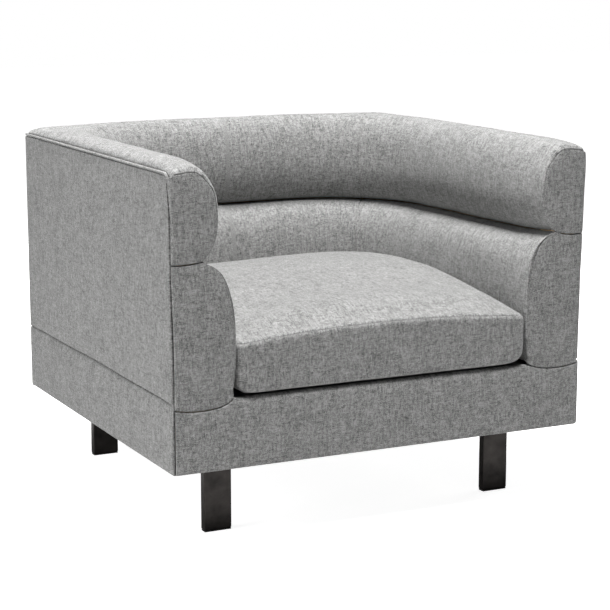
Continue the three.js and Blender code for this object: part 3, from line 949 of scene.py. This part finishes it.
class ARMCHAIR_OT_base_band(bpy.types.Operator):
    """Makes the band round the base, in four panels with a seam at each corner"""
    bl_idname = "armchair.base_band"
    bl_label = "Base band"

    def execute(self, context):
        sizes = context.scene.armchair_sizes
        turn_under = 0.005
        turn = sizes.seam_radius
        roll = sizes.corner_roll
        seam = corner_seam(0.0)
        top = BASE_TOP - SEAM_GAP

        left_skin = corner_skin(-1, -HALF_DEPTH, roll)
        right_skin = corner_skin(1, -HALF_DEPTH, roll)

        def front_place(across, height, out):
            skin = left_skin if across < 0 else right_skin
            return skin(HALF_WIDTH - roll - abs(across), height, out)

        half = HALF_WIDTH - roll - seam - CORNER_GAP
        crest = [(x, front_band_top(x)) for x in
                 (lerp(-half, half, crowd(step / 120, 0.5)) for step in range(121))]
        sides = (line((-half, BASE_BOTTOM), crest[0]), line((half, BASE_BOTTOM), crest[-1]),
                 line((-half, BASE_BOTTOM), (half, BASE_BOTTOM)), curve(crest))
        bm = upholstered_plate(
            front_place, sides, lambda across: (turn, turn, turn_under, front_band_radius(across)),
            even_bulge(BAND_BULGE), (130, 26), 23.0, sizes.ripple, wall=0.010)
        padded_cover(bm, "base_band_front", "base_cover_front")

        sides = rectangle(HALF_WIDTH - SEAM_GAP, BASE_BOTTOM, top)
        radii = lambda across: (turn, turn, turn_under, turn_under)
        bm = upholstered_plate(back_place, sides, radii, even_bulge(BAND_BULGE), (96, 24), 29.0,
                               sizes.ripple)
        padded_cover(bm, "base_band_back", "base_cover_back")

        rear = -(roll * (math.pi / 2 - 1) + 2 * HALF_DEPTH) + SEAM_GAP
        front = seam - CORNER_GAP
        high = bowed_seam(rear, front, top)
        sides = (line((rear, BASE_BOTTOM), high[0]), line((front, BASE_BOTTOM), high[-1]),
                 line((rear, BASE_BOTTOM), (front, BASE_BOTTOM)), curve(high))
        for label, side in SIDES:
            skin = corner_skin(side, -HALF_DEPTH, roll)
            bm = upholstered_plate(skin, sides, radii, even_bulge(SIDE_BAND_BULGE), (96, 24), 31.0 + side,
                                   sizes.ripple)
            padded_cover(bm, f"base_band_{label}", f"base_cover_{label}")
        return {"FINISHED"}


# ------------------------------------------------------------------ welt cords
def cord_mesh(start, radius, moves):
    """A round cord as a bmesh; moves are ("run", vector) or ("turn", centre, axis, angle)."""
    bm = bmesh.new()
    girth = bm.verts.layers.float.new("girth")
    first = moves[0][1].normalized()
    turn = first.to_track_quat("Z", "Y").to_matrix().to_4x4()
    circle = bmesh.ops.create_circle(bm, cap_ends=False, radius=radius, segments=12,
                                     matrix=Matrix.Translation(start) @ turn)
    for index, vert in enumerate(circle["verts"]):
        vert[girth] = index * 2 * math.pi * radius / 12
    ring = list(bm.edges)
    travel, flat = 0.0, {vert: (0.0, vert[girth]) for vert in bm.verts}
    for move in moves:
        steps = max(1, round((move[1].length if move[0] == "run" else 0.03) / 0.006))
        for _ in range(steps):
            verts, ring = extrude_edges(bm, ring)
            if move[0] == "run":
                bmesh.ops.translate(bm, verts=verts, vec=move[1] / steps)
                travel += move[1].length / steps
            else:
                rotation = Matrix.Rotation(move[3] / steps, 3, move[2])
                bmesh.ops.rotate(bm, verts=verts, cent=move[1], matrix=rotation)
                travel += 0.005
            for vert in verts:
                flat[vert] = (travel, vert[girth])
    bmesh.ops.holes_fill(bm, edges=open_border(bm))
    bmesh.ops.recalc_face_normals(bm, faces=bm.faces)
    store_cloth_map(bm, flat)
    return bm


class ARMCHAIR_OT_welt_cords(bpy.types.Operator):
    """Makes the covered cords along the top edges of the outer panels"""
    bl_idname = "armchair.welt_cords"
    bl_label = "Welt cords"

    def execute(self, context):
        radius = (WELT_HIGH.z - WELT_LOW.z) / 2
        height = WELT_HIGH.z - radius + 0.001
        bend = 0.012
        rear = HALF_DEPTH - 0.0030
        corner = context.scene.armchair_sizes.corner_roll
        front = ARM_FRONT - corner * (math.pi / 2 - 1) - corner_seam(WELT_SEAM)
        for label, side in SIDES:
            x = side * (HALF_WIDTH - radius + 0.001)
            start = Vector((x, rear, height))
            length = rear - (front + bend)
            centre = Vector((x, front + bend, height - bend))
            moves = [
                ("run", Vector((0, -length, 0))),
                ("turn", centre, Vector((1, 0, 0)), math.pi / 2),
                ("run", Vector((side * -0.0060, 0.004, -0.014))),
            ]
            bm = cord_mesh(start, radius, moves)
            for vert in bm.verts:
                vert.co.x += outward_lean(side, 0.0, vert.co.y, vert.co.z)
            padded_cover(bm, f"welt_cord_{label}", f"welt_{label}")
        start = Vector((-HALF_WIDTH + 2 * radius, HALF_DEPTH - radius + 0.001, height))
        length = 2 * (HALF_WIDTH - 2 * radius)
        bm = cord_mesh(start, radius, [("run", Vector((length, 0, 0)))])
        padded_cover(bm, "welt_cord_back", "welt_back")
        return {"FINISHED"}


# ------------------------------------------------------------------ seat cushion
def puff_with_cloth(piece, frames, pressure, reach, pins):
    """Blows a closed piece up as cloth, held at its pins, and limits how far any point moves."""
    mesh = piece.data
    rest = [vert.co.copy() for vert in mesh.vertices]
    group = piece.vertex_groups.new(name="pins")
    group.add(pins, 1.0, "REPLACE")
    cloth = piece.modifiers.new("Cloth", "CLOTH")
    settings = cloth.settings
    settings.quality = 5
    settings.mass = 0.3
    settings.use_pressure = True
    settings.uniform_pressure_force = pressure
    settings.tension_stiffness = 25
    settings.compression_stiffness = 25
    settings.shear_stiffness = 8
    settings.bending_stiffness = 2
    settings.effector_weights.gravity = 0
    settings.vertex_group_mass = "pins"
    cloth.collision_settings.use_collision = False
    cloth.point_cache.frame_start = 1
    cloth.point_cache.frame_end = frames
    scene = bpy.context.scene
    for step in range(1, frames + 1):
        scene.frame_set(step)
    graph = bpy.context.evaluated_depsgraph_get()
    blown = [vert.co.copy() for vert in piece.evaluated_get(graph).data.vertices]
    piece.modifiers.remove(cloth)
    piece.vertex_groups.clear()
    for vert, start, end in zip(mesh.vertices, rest, blown):
        move = end - start
        if move.length > reach:
            move *= reach / move.length
        vert.co = start + move
    mesh.update()
    scene.frame_set(1)


class CushionShape:
    """The cushion's plan and the heights of its top, in the chair's own frame."""
    side_gap = 0.0046
    overhang = 0.0010
    lift = 0.003
    front_radius = 0.015
    rear_inset = 0.068
    side_rise = 0.032
    rear_fall = 0.018
    rear_crown = 0.012
    sideways_lean = 0.035
    middle_swell = 0.020
    front_swell = 0.011

    def __init__(self, sizes):
        low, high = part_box("seat_cushion")
        self.half = high.x - self.side_gap
        self.front = low.y - self.overhang
        self.rear = high.y
        self.bottom = low.z + self.lift
        self.rear_radius = sizes.corner_radius - self.rear_inset
        self.sizes = sizes

    def limits(self, y):
        """Half the cushion's width at a depth."""
        front_reach = self.front + self.front_radius - y
        if front_reach > 0:
            side = math.sqrt(max(self.front_radius ** 2 - front_reach ** 2, 0))
            return self.half - self.front_radius + side
        rear_reach = y - (self.rear - self.rear_radius)
        if rear_reach > 0:
            side = math.sqrt(max(self.rear_radius ** 2 - rear_reach ** 2, 0))
            return self.half - self.rear_radius + side
        return self.half

    def inside(self, x, y):
        """Distance from a point to the cushion's edge in plan."""
        rear_reach = y - (self.rear - self.rear_radius)
        side_reach = abs(x) - (self.half - self.rear_radius)
        if rear_reach > 0 and side_reach > 0:
            return self.rear_radius - math.hypot(rear_reach, side_reach)
        front_reach = self.front + self.front_radius - y
        side_front = abs(x) - (self.half - self.front_radius)
        if front_reach > 0 and side_front > 0:
            return self.front_radius - math.hypot(front_reach, side_front)
        return min(self.half - abs(x), y - self.front, self.rear - y)

    def seam_height(self, x, y):
        """Height of the boxing's seam under a place on the rim."""
        u = clamp01((y - self.front) / (self.rear - self.front))
        side = self.side_rise * math.sin(math.pi / 2 * clamp01(u / 0.6)) ** 1.2
        side -= self.rear_fall * clamp01((u - 0.6) / 0.4) ** 2
        s = clamp01(abs(x) / self.half)
        crown = lerp(self.sizes.cushion_crown, self.rear_crown, clamp01(u / 0.3)) * (1 - s ** 2.2)
        lean = self.sideways_lean * x * clamp01(u / 0.5)
        return self.sizes.cushion_seam + side * (1 - 0.25 * (1 - s)) + crown + lean

    def top_height(self, x, y):
        """Height of the cushion's top, before it turns down to its seam."""
        u = clamp01((y - self.front) / (self.rear - self.front))
        s = clamp01(abs(x) / self.half)
        swell = self.middle_swell * (1 - s ** 2.5) * math.sin(math.pi * clamp01(u)) ** 0.7
        swell += self.front_swell * (1 - s ** 4) * math.exp(-((u - 0.13) / 0.11) ** 2) * ease(u / 0.10)
        lip = lerp(0.0035, 0.008, ease((y - self.front) / 0.08))
        return self.seam_height(x, y) + lip + swell


class ARMCHAIR_OT_seat_cushion(bpy.types.Operator):
    """Makes the loose boxed seat cushion, blown up as cloth and then seamed"""
    bl_idname = "armchair.seat_cushion"
    bl_label = "Seat cushion"

    def execute(self, context):
        sizes = context.scene.armchair_sizes
        shape = CushionShape(sizes)
        bm = bmesh.new()
        flat = self.top_panel(bm, shape)
        rows = self.boxing(bm, shape, flat, open_border(bm))
        bmesh.ops.recalc_face_normals(bm, faces=bm.faces)
        store_cloth_map(bm, flat)
        bm.verts.index_update()
        groove = sorted({vert.index for row in rows for vert in row})
        piece = finish_mesh(bm, "seat_cushion_cover", cloth_material(),
                            body="cushion")
        puff_with_cloth(piece, frames=16, pressure=2.4, reach=0.0045, pins=groove)
        self.soften(piece, sizes)
        smooth_piece(piece, 1)
        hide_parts("seat_cushion")
        return {"FINISHED"}

    def top_panel(self, bm, shape):
        """A grid in the cushion's plan that turns down to the seam at its rim."""
        bmesh.ops.create_grid(bm, x_segments=84, y_segments=92, size=0.5)
        flat = {}
        for vert in bm.verts:
            s = crowd(vert.co.x + 0.5, 0.80)
            t = crowd(vert.co.y + 0.5, 0.90)
            y = lerp(shape.front, shape.rear, t)
            x = lerp(-shape.limits(y), shape.limits(y), s)
            edge = max(shape.inside(x, y), 0.0)
            front_edge = clamp01(1 - (y - shape.front) / 0.1)
            radius = lerp(0.030, 0.006, front_edge)
            low, high = shape.seam_height(x, y), shape.top_height(x, y)
            turn = edge_drop(edge, radius) / radius
            vert.co = Vector((x, y, lerp(high, low, turn)))
            flat[vert] = (x, y)
        return flat

    def boxing(self, bm, shape, flat, seam):
        """Rows of boxing below the seam, bulging a little, then the bottom; returns seam rows."""
        first = {vert for edge in seam for vert in edge.verts}
        starts = {}
        for vert in first:
            normal = self.plan_normal(shape, vert.co)
            starts[vert] = (vert.co.copy(), normal, self.perimeter(shape, vert.co))
        rows = [list(first)]
        ring = seam
        trail = {vert: starts[vert] for vert in first}
        steps = 15
        seam_drop = 0.0006
        bulge = 0.0045
        low_round, corner_round = 0.011, 0.030
        corner_start, corner_width = 0.285, 0.045
        for step in range(steps + 1):
            t = step / steps
            fresh, ring = extrude_edges(bm, ring)
            following = {}
            for vert in fresh:
                above = next(edge.other_vert(vert) for edge in vert.link_edges
                             if edge.other_vert(vert) in trail)
                start, normal, length = trail[above]
                following[vert] = (start, normal, length)
                drop = seam_drop + (start.z - shape.bottom - seam_drop) * crowd(t, 0.75)
                out = bulge * (1 - (2 * t - 1) ** 4)
                corner = ease((abs(start.x) - corner_start) / corner_width)
                under = edge_drop((1 - crowd(t, 0.75)) * (start.z - shape.bottom),
                                  lerp(low_round, corner_round, corner))
                vert.co = start + normal * (out - under) - Vector((0, 0, drop))
                flat[vert] = (length, start.z - drop)
            if step == 0:
                rows.append(fresh)
            trail = following
        rows.append(list(trail))
        middle = Vector((0, (shape.front + shape.rear) / 2, shape.bottom))
        for share in (0.985, 0.93, 0.82, 0.66, 0.46, 0.24):
            fresh, ring = extrude_edges(bm, ring)
            for vert in fresh:
                above = next(edge.other_vert(vert) for edge in vert.link_edges
                             if edge.other_vert(vert) in trail)
                trail[vert] = trail[above]
                start = trail[above][0]
                vert.co = Vector((start.x * share, lerp(middle.y, start.y, share), shape.bottom))
                flat[vert] = (vert.co.x, vert.co.y)
        fill_ring(bm, ring)
        return rows

    def plan_normal(self, shape, place):
        """The way out of the cushion, level, at a place on its rim."""
        step = 0.0008
        x, y = place.x, place.y
        inward = Vector((shape.inside(x + step, y) - shape.inside(x - step, y),
                         shape.inside(x, y + step) - shape.inside(x, y - step), 0))
        return -inward.normalized() if inward.length else Vector((0, -1, 0))

    def perimeter(self, shape, place):
        """A length along the boxing, good enough to lay the cloth by."""
        if place.y < shape.front + shape.front_radius:
            return place.x
        side = 1 if place.x > 0 else -1
        corner_y = shape.rear - shape.rear_radius
        run = shape.half + min(place.y, corner_y) - shape.front
        if place.y > corner_y:
            angle = math.atan2(place.y - corner_y, abs(place.x) - (shape.half - shape.rear_radius))
            if angle < math.pi / 2:
                run += shape.rear_radius * angle
            else:
                run += shape.rear_radius * math.pi / 2 + shape.half - shape.rear_radius - abs(place.x)
        return side * run

    def soften(self, piece, sizes):
        """Slight unevenness over the panels."""
        mesh = piece.data
        normals = [vert.normal.copy() for vert in mesh.vertices]
        for vert, normal in zip(mesh.vertices, normals):
            vert.co += normal * wander((vert.co.x + 40, vert.co.y, vert.co.z), 0.09,
                                       sizes.ripple * 1.3)
        mesh.update()


# ------------------------------------------------------------------ legs
LEG_PLATE = 0.005
BAR_ROUND = 0.0024
EDGE_ROUND = 0.0008
GLIDE_TRIM = 0.0008


def leg_metal_material():
    """Dark satin metal, finely brushed along the leg and a little cloudy."""
    name = "Dark satin metal"
    if name in bpy.data.materials:
        return bpy.data.materials[name]
    looks = bpy.context.scene.armchair_looks
    material, shader = new_material(name)
    tree = material.node_tree
    place = place_on_object(tree)
    stretch = tree.nodes.new("ShaderNodeMapping")
    stretch.inputs["Scale"].default_value = (1.0, 1.0, 0.04)
    tree.links.new(place, stretch.inputs["Vector"])
    grain = noise_node(tree, stretch.outputs["Vector"], 900.0, 3.0, 0.6)
    cloud = noise_node(tree, place, 26.0, 3.0, 0.6)
    darker = [channel * 0.55 for channel in looks.metal]
    lighter = [channel * 1.8 for channel in looks.metal]
    dress(tree, shader,
          Base_Color=ramp_node(tree, cloud, darker, lighter, (0.3, 0.75)),
          Roughness=rescale(tree, grain, 0.30, 0.16),
          Normal=bump_node(tree, grain, 0.12, 0.0002))
    shader.inputs["Metallic"].default_value = 0.75
    return material


def plastic_material():
    """Matte black plastic with a fine grain."""
    name = "Black glide plastic"
    if name in bpy.data.materials:
        return bpy.data.materials[name]
    material, shader = new_material(name)
    tree = material.node_tree
    grain = noise_node(tree, place_on_object(tree), 1500.0, 2.0)
    dress(tree, shader,
          Base_Color=ramp_node(tree, grain, (0.008, 0.008, 0.008), (0.022, 0.022, 0.022)),
          Roughness=rescale(tree, grain, 0.5, 0.2))
    return material


def bevelled_block(bm, low, high, radius, segments=3):
    """Adds a box with rounded edges to a bmesh."""
    middle = (low + high) / 2
    size = high - low
    matrix = Matrix.Translation(middle) @ Matrix.Diagonal((*size, 1))
    made = bmesh.ops.create_cube(bm, size=1, matrix=matrix)
    edges = list({edge for vert in made["verts"] for edge in vert.link_edges})
    bmesh.ops.bevel(bm, geom=edges, offset=radius, segments=segments, profile=0.5,
                    affect="EDGES", material=-1)


class ARMCHAIR_OT_legs(bpy.types.Operator):
    """Makes the flat-bar legs with their plates, and the thin glides under them"""
    bl_idname = "armchair.legs"
    bl_label = "Legs"

    def execute(self, context):
        for end in ("front", "rear"):
            for label, _ in SIDES:
                glide_low, glide_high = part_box(f"glide_{end}_{label}")
                low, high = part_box(f"leg_{end}_{label}")
                plate_bottom = high.z - LEG_PLATE
                bm = bmesh.new()
                bevelled_block(bm, Vector((glide_low.x, glide_low.y, low.z)),
                               Vector((glide_high.x, glide_high.y, plate_bottom + 0.001)), BAR_ROUND)
                bevelled_block(bm, Vector((low.x, low.y, plate_bottom)), high, EDGE_ROUND, 2)
                piece = finish_mesh(bm, f"leg_bar_{end}_{label}", leg_metal_material())
                piece.data.polygons.foreach_set("use_smooth", [False] * len(piece.data.polygons))
                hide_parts(f"leg_{end}_{label}")
                bm = bmesh.new()
                trim = Vector((GLIDE_TRIM, GLIDE_TRIM, 0))
                bevelled_block(bm, glide_low + trim, glide_high - trim, EDGE_ROUND, 2)
                piece = finish_mesh(bm, f"glide_pad_{end}_{label}", plastic_material())
                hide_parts(f"glide_{end}_{label}")
        return {"FINISHED"}


# ------------------------------------------------------------------ hidden structure
def timber_material():
    """Sawn hardwood with growth rings and fine pores."""
    material, shader = new_material("Sawn hardwood")
    tree = material.node_tree
    place = place_on_object(tree)
    rings = tree.nodes.new("ShaderNodeTexWave")
    rings.wave_type = "RINGS"
    rings.inputs["Scale"].default_value = 14.0
    rings.inputs["Distortion"].default_value = 3.5
    rings.inputs["Detail"].default_value = 2.0
    tree.links.new(place, rings.inputs["Vector"])
    pores = noise_node(tree, place, 420.0, 3.0, 0.6)
    grain = math_node(tree, "ADD", math_node(tree, "MULTIPLY", rings.outputs["Fac"], 0.6),
                      math_node(tree, "MULTIPLY", pores, 0.4))
    dress(tree, shader,
          Base_Color=ramp_node(tree, grain, (0.36, 0.23, 0.12), (0.68, 0.51, 0.32)),
          Roughness=rescale(tree, pores, 0.62, 0.25),
          Normal=bump_node(tree, grain, 0.25, 0.0004))
    return material


def steel_material():
    """Zinc-plated steel with a faint cloudiness."""
    material, shader = new_material("Zinc-plated steel")
    tree = material.node_tree
    cloud = noise_node(tree, place_on_object(tree), 70.0, 4.0, 0.6)
    dress(tree, shader,
          Base_Color=ramp_node(tree, cloud, (0.40, 0.40, 0.39), (0.62, 0.62, 0.61)),
          Roughness=rescale(tree, cloud, 0.26, 0.22))
    shader.inputs["Metallic"].default_value = 1.0
    return material


def plain_cloth_material(name, dark, light, pitch):
    """A plain grey cloth for inside and under the chair."""
    material, shader = new_material(name)
    tree = material.node_tree
    weave, _ = weave_node(tree, pitch, 6 * pitch)
    dress(tree, shader,
          Base_Color=ramp_node(tree, weave.outputs["Shade"], [dark] * 3, [light] * 3, (0.3, 0.7)),
          Normal=bump_node(tree, weave.outputs["Height"], 0.4, 0.0004))
    shader.inputs["Roughness"].default_value = 0.9
    shader.inputs["Specular IOR Level"].default_value = 0.2
    return material


def stretched_cloth(low, high, thickness, shape):
    """A level rectangle of cloth as a bmesh; shape(s, t) is how far it departs from its plane."""
    bm = bmesh.new()
    bmesh.ops.create_grid(bm, x_segments=60, y_segments=60, size=0.5)
    flat = {}
    for vert in bm.verts:
        s, t = vert.co.x + 0.5, vert.co.y + 0.5
        vert.co = Vector((lerp(low.x, high.x, s), lerp(low.y, high.y, t), high.z + shape(s, t)))
        flat[vert] = (vert.co.x, vert.co.y)
    close_border(bm, flat, lambda spot: Vector((0, 0, -thickness)))
    store_cloth_map(bm, flat)
    return bm


class ARMCHAIR_OT_hidden_structure(bpy.types.Operator):
    """Makes the seat deck and the dust cover, and finishes the timber, springs and bolts"""
    bl_idname = "armchair.hidden_structure"
    bl_label = "Hidden structure"

    def execute(self, context):
        rim = lambda s, t: 16 * s * (1 - s) * t * (1 - t)
        low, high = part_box("seat_deck")
        thickness = high.z - low.z
        quilt = lambda s, t: -0.004 + 0.004 * rim(s, t) ** 0.5 + wander((s, t, 1.0), 0.2, 0.0008)
        bm = stretched_cloth(low, high, thickness - 0.004, quilt)
        lining = plain_cloth_material("Dark lining cloth", 0.07, 0.19, 0.0008)
        piece = finish_mesh(bm, "seat_deck_pad", lining)
        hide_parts("seat_deck")

        low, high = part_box("dust_cover")
        thickness = high.z - low.z
        sag = lambda s, t: -0.0006 * rim(s, t) + wander((s, t, 2.0), 0.25, 0.0004) * rim(s, t)
        bm = stretched_cloth(low, high, thickness, sag)
        felt = plain_cloth_material("Black dust cloth", 0.010, 0.032, 0.0007)
        piece = finish_mesh(bm, "dust_cloth_sheet", felt)
        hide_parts("dust_cover")

        finishes = {"timber": timber_material(), "plain_steel": steel_material()}
        for subpart in frame["record"]["subparts"]:
            finish = finishes.get(subpart["material_slot"])
            if finish is not None:
                for slot in frame["nodes"][subpart["node"]].material_slots:
                    slot.material = finish
        return {"FINISHED"}


# ------------------------------------------------------------------ stage
def show_to_camera(tree, seen, otherwise, output):
    """Shows one shader to the camera and another to the light that bounces off it."""
    path = tree.nodes.new("ShaderNodeLightPath")
    mix = tree.nodes.new("ShaderNodeMixShader")
    tree.links.new(path.outputs["Is Camera Ray"], mix.inputs[0])
    tree.links.new(otherwise, mix.inputs[1])
    tree.links.new(seen, mix.inputs[2])
    tree.links.new(mix.outputs["Shader"], output.inputs["Surface"])


def floor_material():
    """White paper that shows only faint shadows to the camera."""
    material = bpy.data.materials.new("Studio floor")
    material.use_nodes = True
    tree = material.node_tree
    tree.nodes.clear()
    output = tree.nodes.new("ShaderNodeOutputMaterial")
    diffuse = tree.nodes.new("ShaderNodeBsdfDiffuse")
    diffuse.inputs["Color"].default_value = (0.62, 0.62, 0.62, 1)
    glow = tree.nodes.new("ShaderNodeEmission")
    distance = tree.nodes.new("ShaderNodeVectorMath")
    distance.operation = "LENGTH"
    tree.links.new(place_on_object(tree), distance.inputs[0])
    far = math_node(tree, "MULTIPLY", math_node(tree, "SUBTRACT", distance.outputs["Value"], 0.6),
                    0.8, clamp=True)
    tree.links.new(rescale(tree, far, 0.90, 0.12), glow.inputs["Strength"])
    both = tree.nodes.new("ShaderNodeAddShader")
    tree.links.new(diffuse.outputs["BSDF"], both.inputs[0])
    tree.links.new(glow.outputs["Emission"], both.inputs[1])
    show_to_camera(tree, both.outputs["Shader"], diffuse.outputs["BSDF"], output)
    return material


# name, place, height of the point on the chair's middle line that it faces, width, height, watts
LAMPS = (
    ("Overhead", (0, 0, 4.0), 0.5, 1.0, 1.0, 188),
    ("Overhead front", (0, -1.2, 3.8), 0.5, 1.0, 1.0, 154),
    ("Left fill", (-3.4, -0.4, 1.0), 0.5, 1.8, 1.8, 82),
    ("Front fill", (0.3, -3.6, 0.6), 0.4, 2.0, 1.0, 8),
    ("Right fill", (3.4, 0.6, 1.2), 0.5, 1.8, 1.8, 34),
    ("Back fill", (0.4, 3.6, 1.4), 0.5, 1.8, 1.8, 40),
)
WORLD_LIGHT = 0.02


def area_light(name, place, aim_height, width, height, power):
    light = bpy.data.lights.new(name, "AREA")
    light.shape = "RECTANGLE"
    light.size, light.size_y = width, height
    light.energy = power
    lamp = bpy.data.objects.new(name, light)
    bpy.context.scene.collection.objects.link(lamp)
    lamp.location = place
    turn_to(lamp, Vector((0, 0, aim_height)) - Vector(place))


def turn_to(thing, direction):
    """Turns a lamp or the camera to look along a direction."""
    thing.rotation_euler = direction.to_track_quat("-Z", "Y").to_euler()


class ARMCHAIR_OT_stage(bpy.types.Operator):
    """Sets up the white floor, the soft lights and the camera"""
    bl_idname = "armchair.stage"
    bl_label = "Stage"

    def execute(self, context):
        scene = context.scene
        studio = scene.armchair_studio
        bm = bmesh.new()
        bmesh.ops.create_grid(bm, x_segments=1, y_segments=1, size=14)
        bmesh.ops.translate(bm, verts=bm.verts, vec=(0, 0, -0.0002))
        mesh = bpy.data.meshes.new("studio_floor")
        bm.to_mesh(mesh)
        bm.free()
        floor = bpy.data.objects.new("studio_floor", mesh)
        mesh.materials.append(floor_material())
        scene.collection.objects.link(floor)

        world = bpy.data.worlds.new("Studio")
        scene.world = world
        world.use_nodes = True
        tree = world.node_tree
        tree.nodes.clear()
        output = tree.nodes.new("ShaderNodeOutputWorld")
        backgrounds = []
        for strength in (WORLD_LIGHT, 1.0):
            background = tree.nodes.new("ShaderNodeBackground")
            background.inputs["Color"].default_value = (1, 1, 1, 1)
            background.inputs["Strength"].default_value = strength
            backgrounds.append(background.outputs["Background"])
        show_to_camera(tree, backgrounds[1], backgrounds[0], output)

        for lamp in LAMPS:
            area_light(*lamp)

        camera = bpy.data.cameras.new("Camera")
        camera.sensor_width = 36
        camera.lens = studio.lens
        camera.clip_start, camera.clip_end = 0.1, 60
        viewer = bpy.data.objects.new("Camera", camera)
        scene.collection.objects.link(viewer)
        viewer.location = studio.camera_place
        turn_to(viewer, Vector(studio.camera_aim).normalized())
        scene.camera = viewer
        scene.view_settings.view_transform = "Standard"
        return {"FINISHED"}


# ------------------------------------------------------------------ registration and run
OPERATORS = (
    ARMCHAIR_OT_bolsters,
    ARMCHAIR_OT_end_caps,
    ARMCHAIR_OT_outer_panels,
    ARMCHAIR_OT_base_band,
    ARMCHAIR_OT_welt_cords,
    ARMCHAIR_OT_seat_cushion,
    ARMCHAIR_OT_legs,
    ARMCHAIR_OT_hidden_structure,
    ARMCHAIR_OT_stage,
)
PROPERTY_GROUPS = (ArmchairSizes, ArmchairLooks, ArmchairStudio)


class ARMCHAIR_PT_build(bpy.types.Panel):
    """Lists the armchair's building steps"""
    bl_label = "Armchair"
    bl_idname = "ARMCHAIR_PT_build"
    bl_space_type = "VIEW_3D"
    bl_region_type = "UI"
    bl_category = "Armchair"

    def draw(self, context):
        for operator in OPERATORS:
            self.layout.operator(operator.bl_idname)
        for group in ("armchair_sizes", "armchair_looks", "armchair_studio"):
            settings = getattr(context.scene, group)
            for name in settings.bl_rna.properties.keys():
                if name not in ("rna_type", "name"):
                    self.layout.prop(settings, name)


def register():
    for group in PROPERTY_GROUPS:
        bpy.utils.register_class(group)
    for operator in OPERATORS:
        bpy.utils.register_class(operator)
    bpy.utils.register_class(ARMCHAIR_PT_build)
    bpy.types.Scene.armchair_sizes = bpy.props.PointerProperty(type=ArmchairSizes)
    bpy.types.Scene.armchair_looks = bpy.props.PointerProperty(type=ArmchairLooks)
    bpy.types.Scene.armchair_studio = bpy.props.PointerProperty(type=ArmchairStudio)


def unregister():
    del bpy.types.Scene.armchair_studio
    del bpy.types.Scene.armchair_looks
    del bpy.types.Scene.armchair_sizes
    bpy.utils.unregister_class(ARMCHAIR_PT_build)
    for operator in reversed(OPERATORS):
        bpy.utils.unregister_class(operator)
    for group in reversed(PROPERTY_GROUPS):
        bpy.utils.unregister_class(group)


def main():
    register()
    bpy.ops.armchair.bolsters()
    bpy.ops.armchair.end_caps()
    bpy.ops.armchair.outer_panels()
    bpy.ops.armchair.base_band()
    bpy.ops.armchair.welt_cords()
    bpy.ops.armchair.seat_cushion()
    bpy.ops.armchair.legs()
    bpy.ops.armchair.hidden_structure()
    bpy.ops.armchair.stage()


if __name__ == "__main__":
    main()
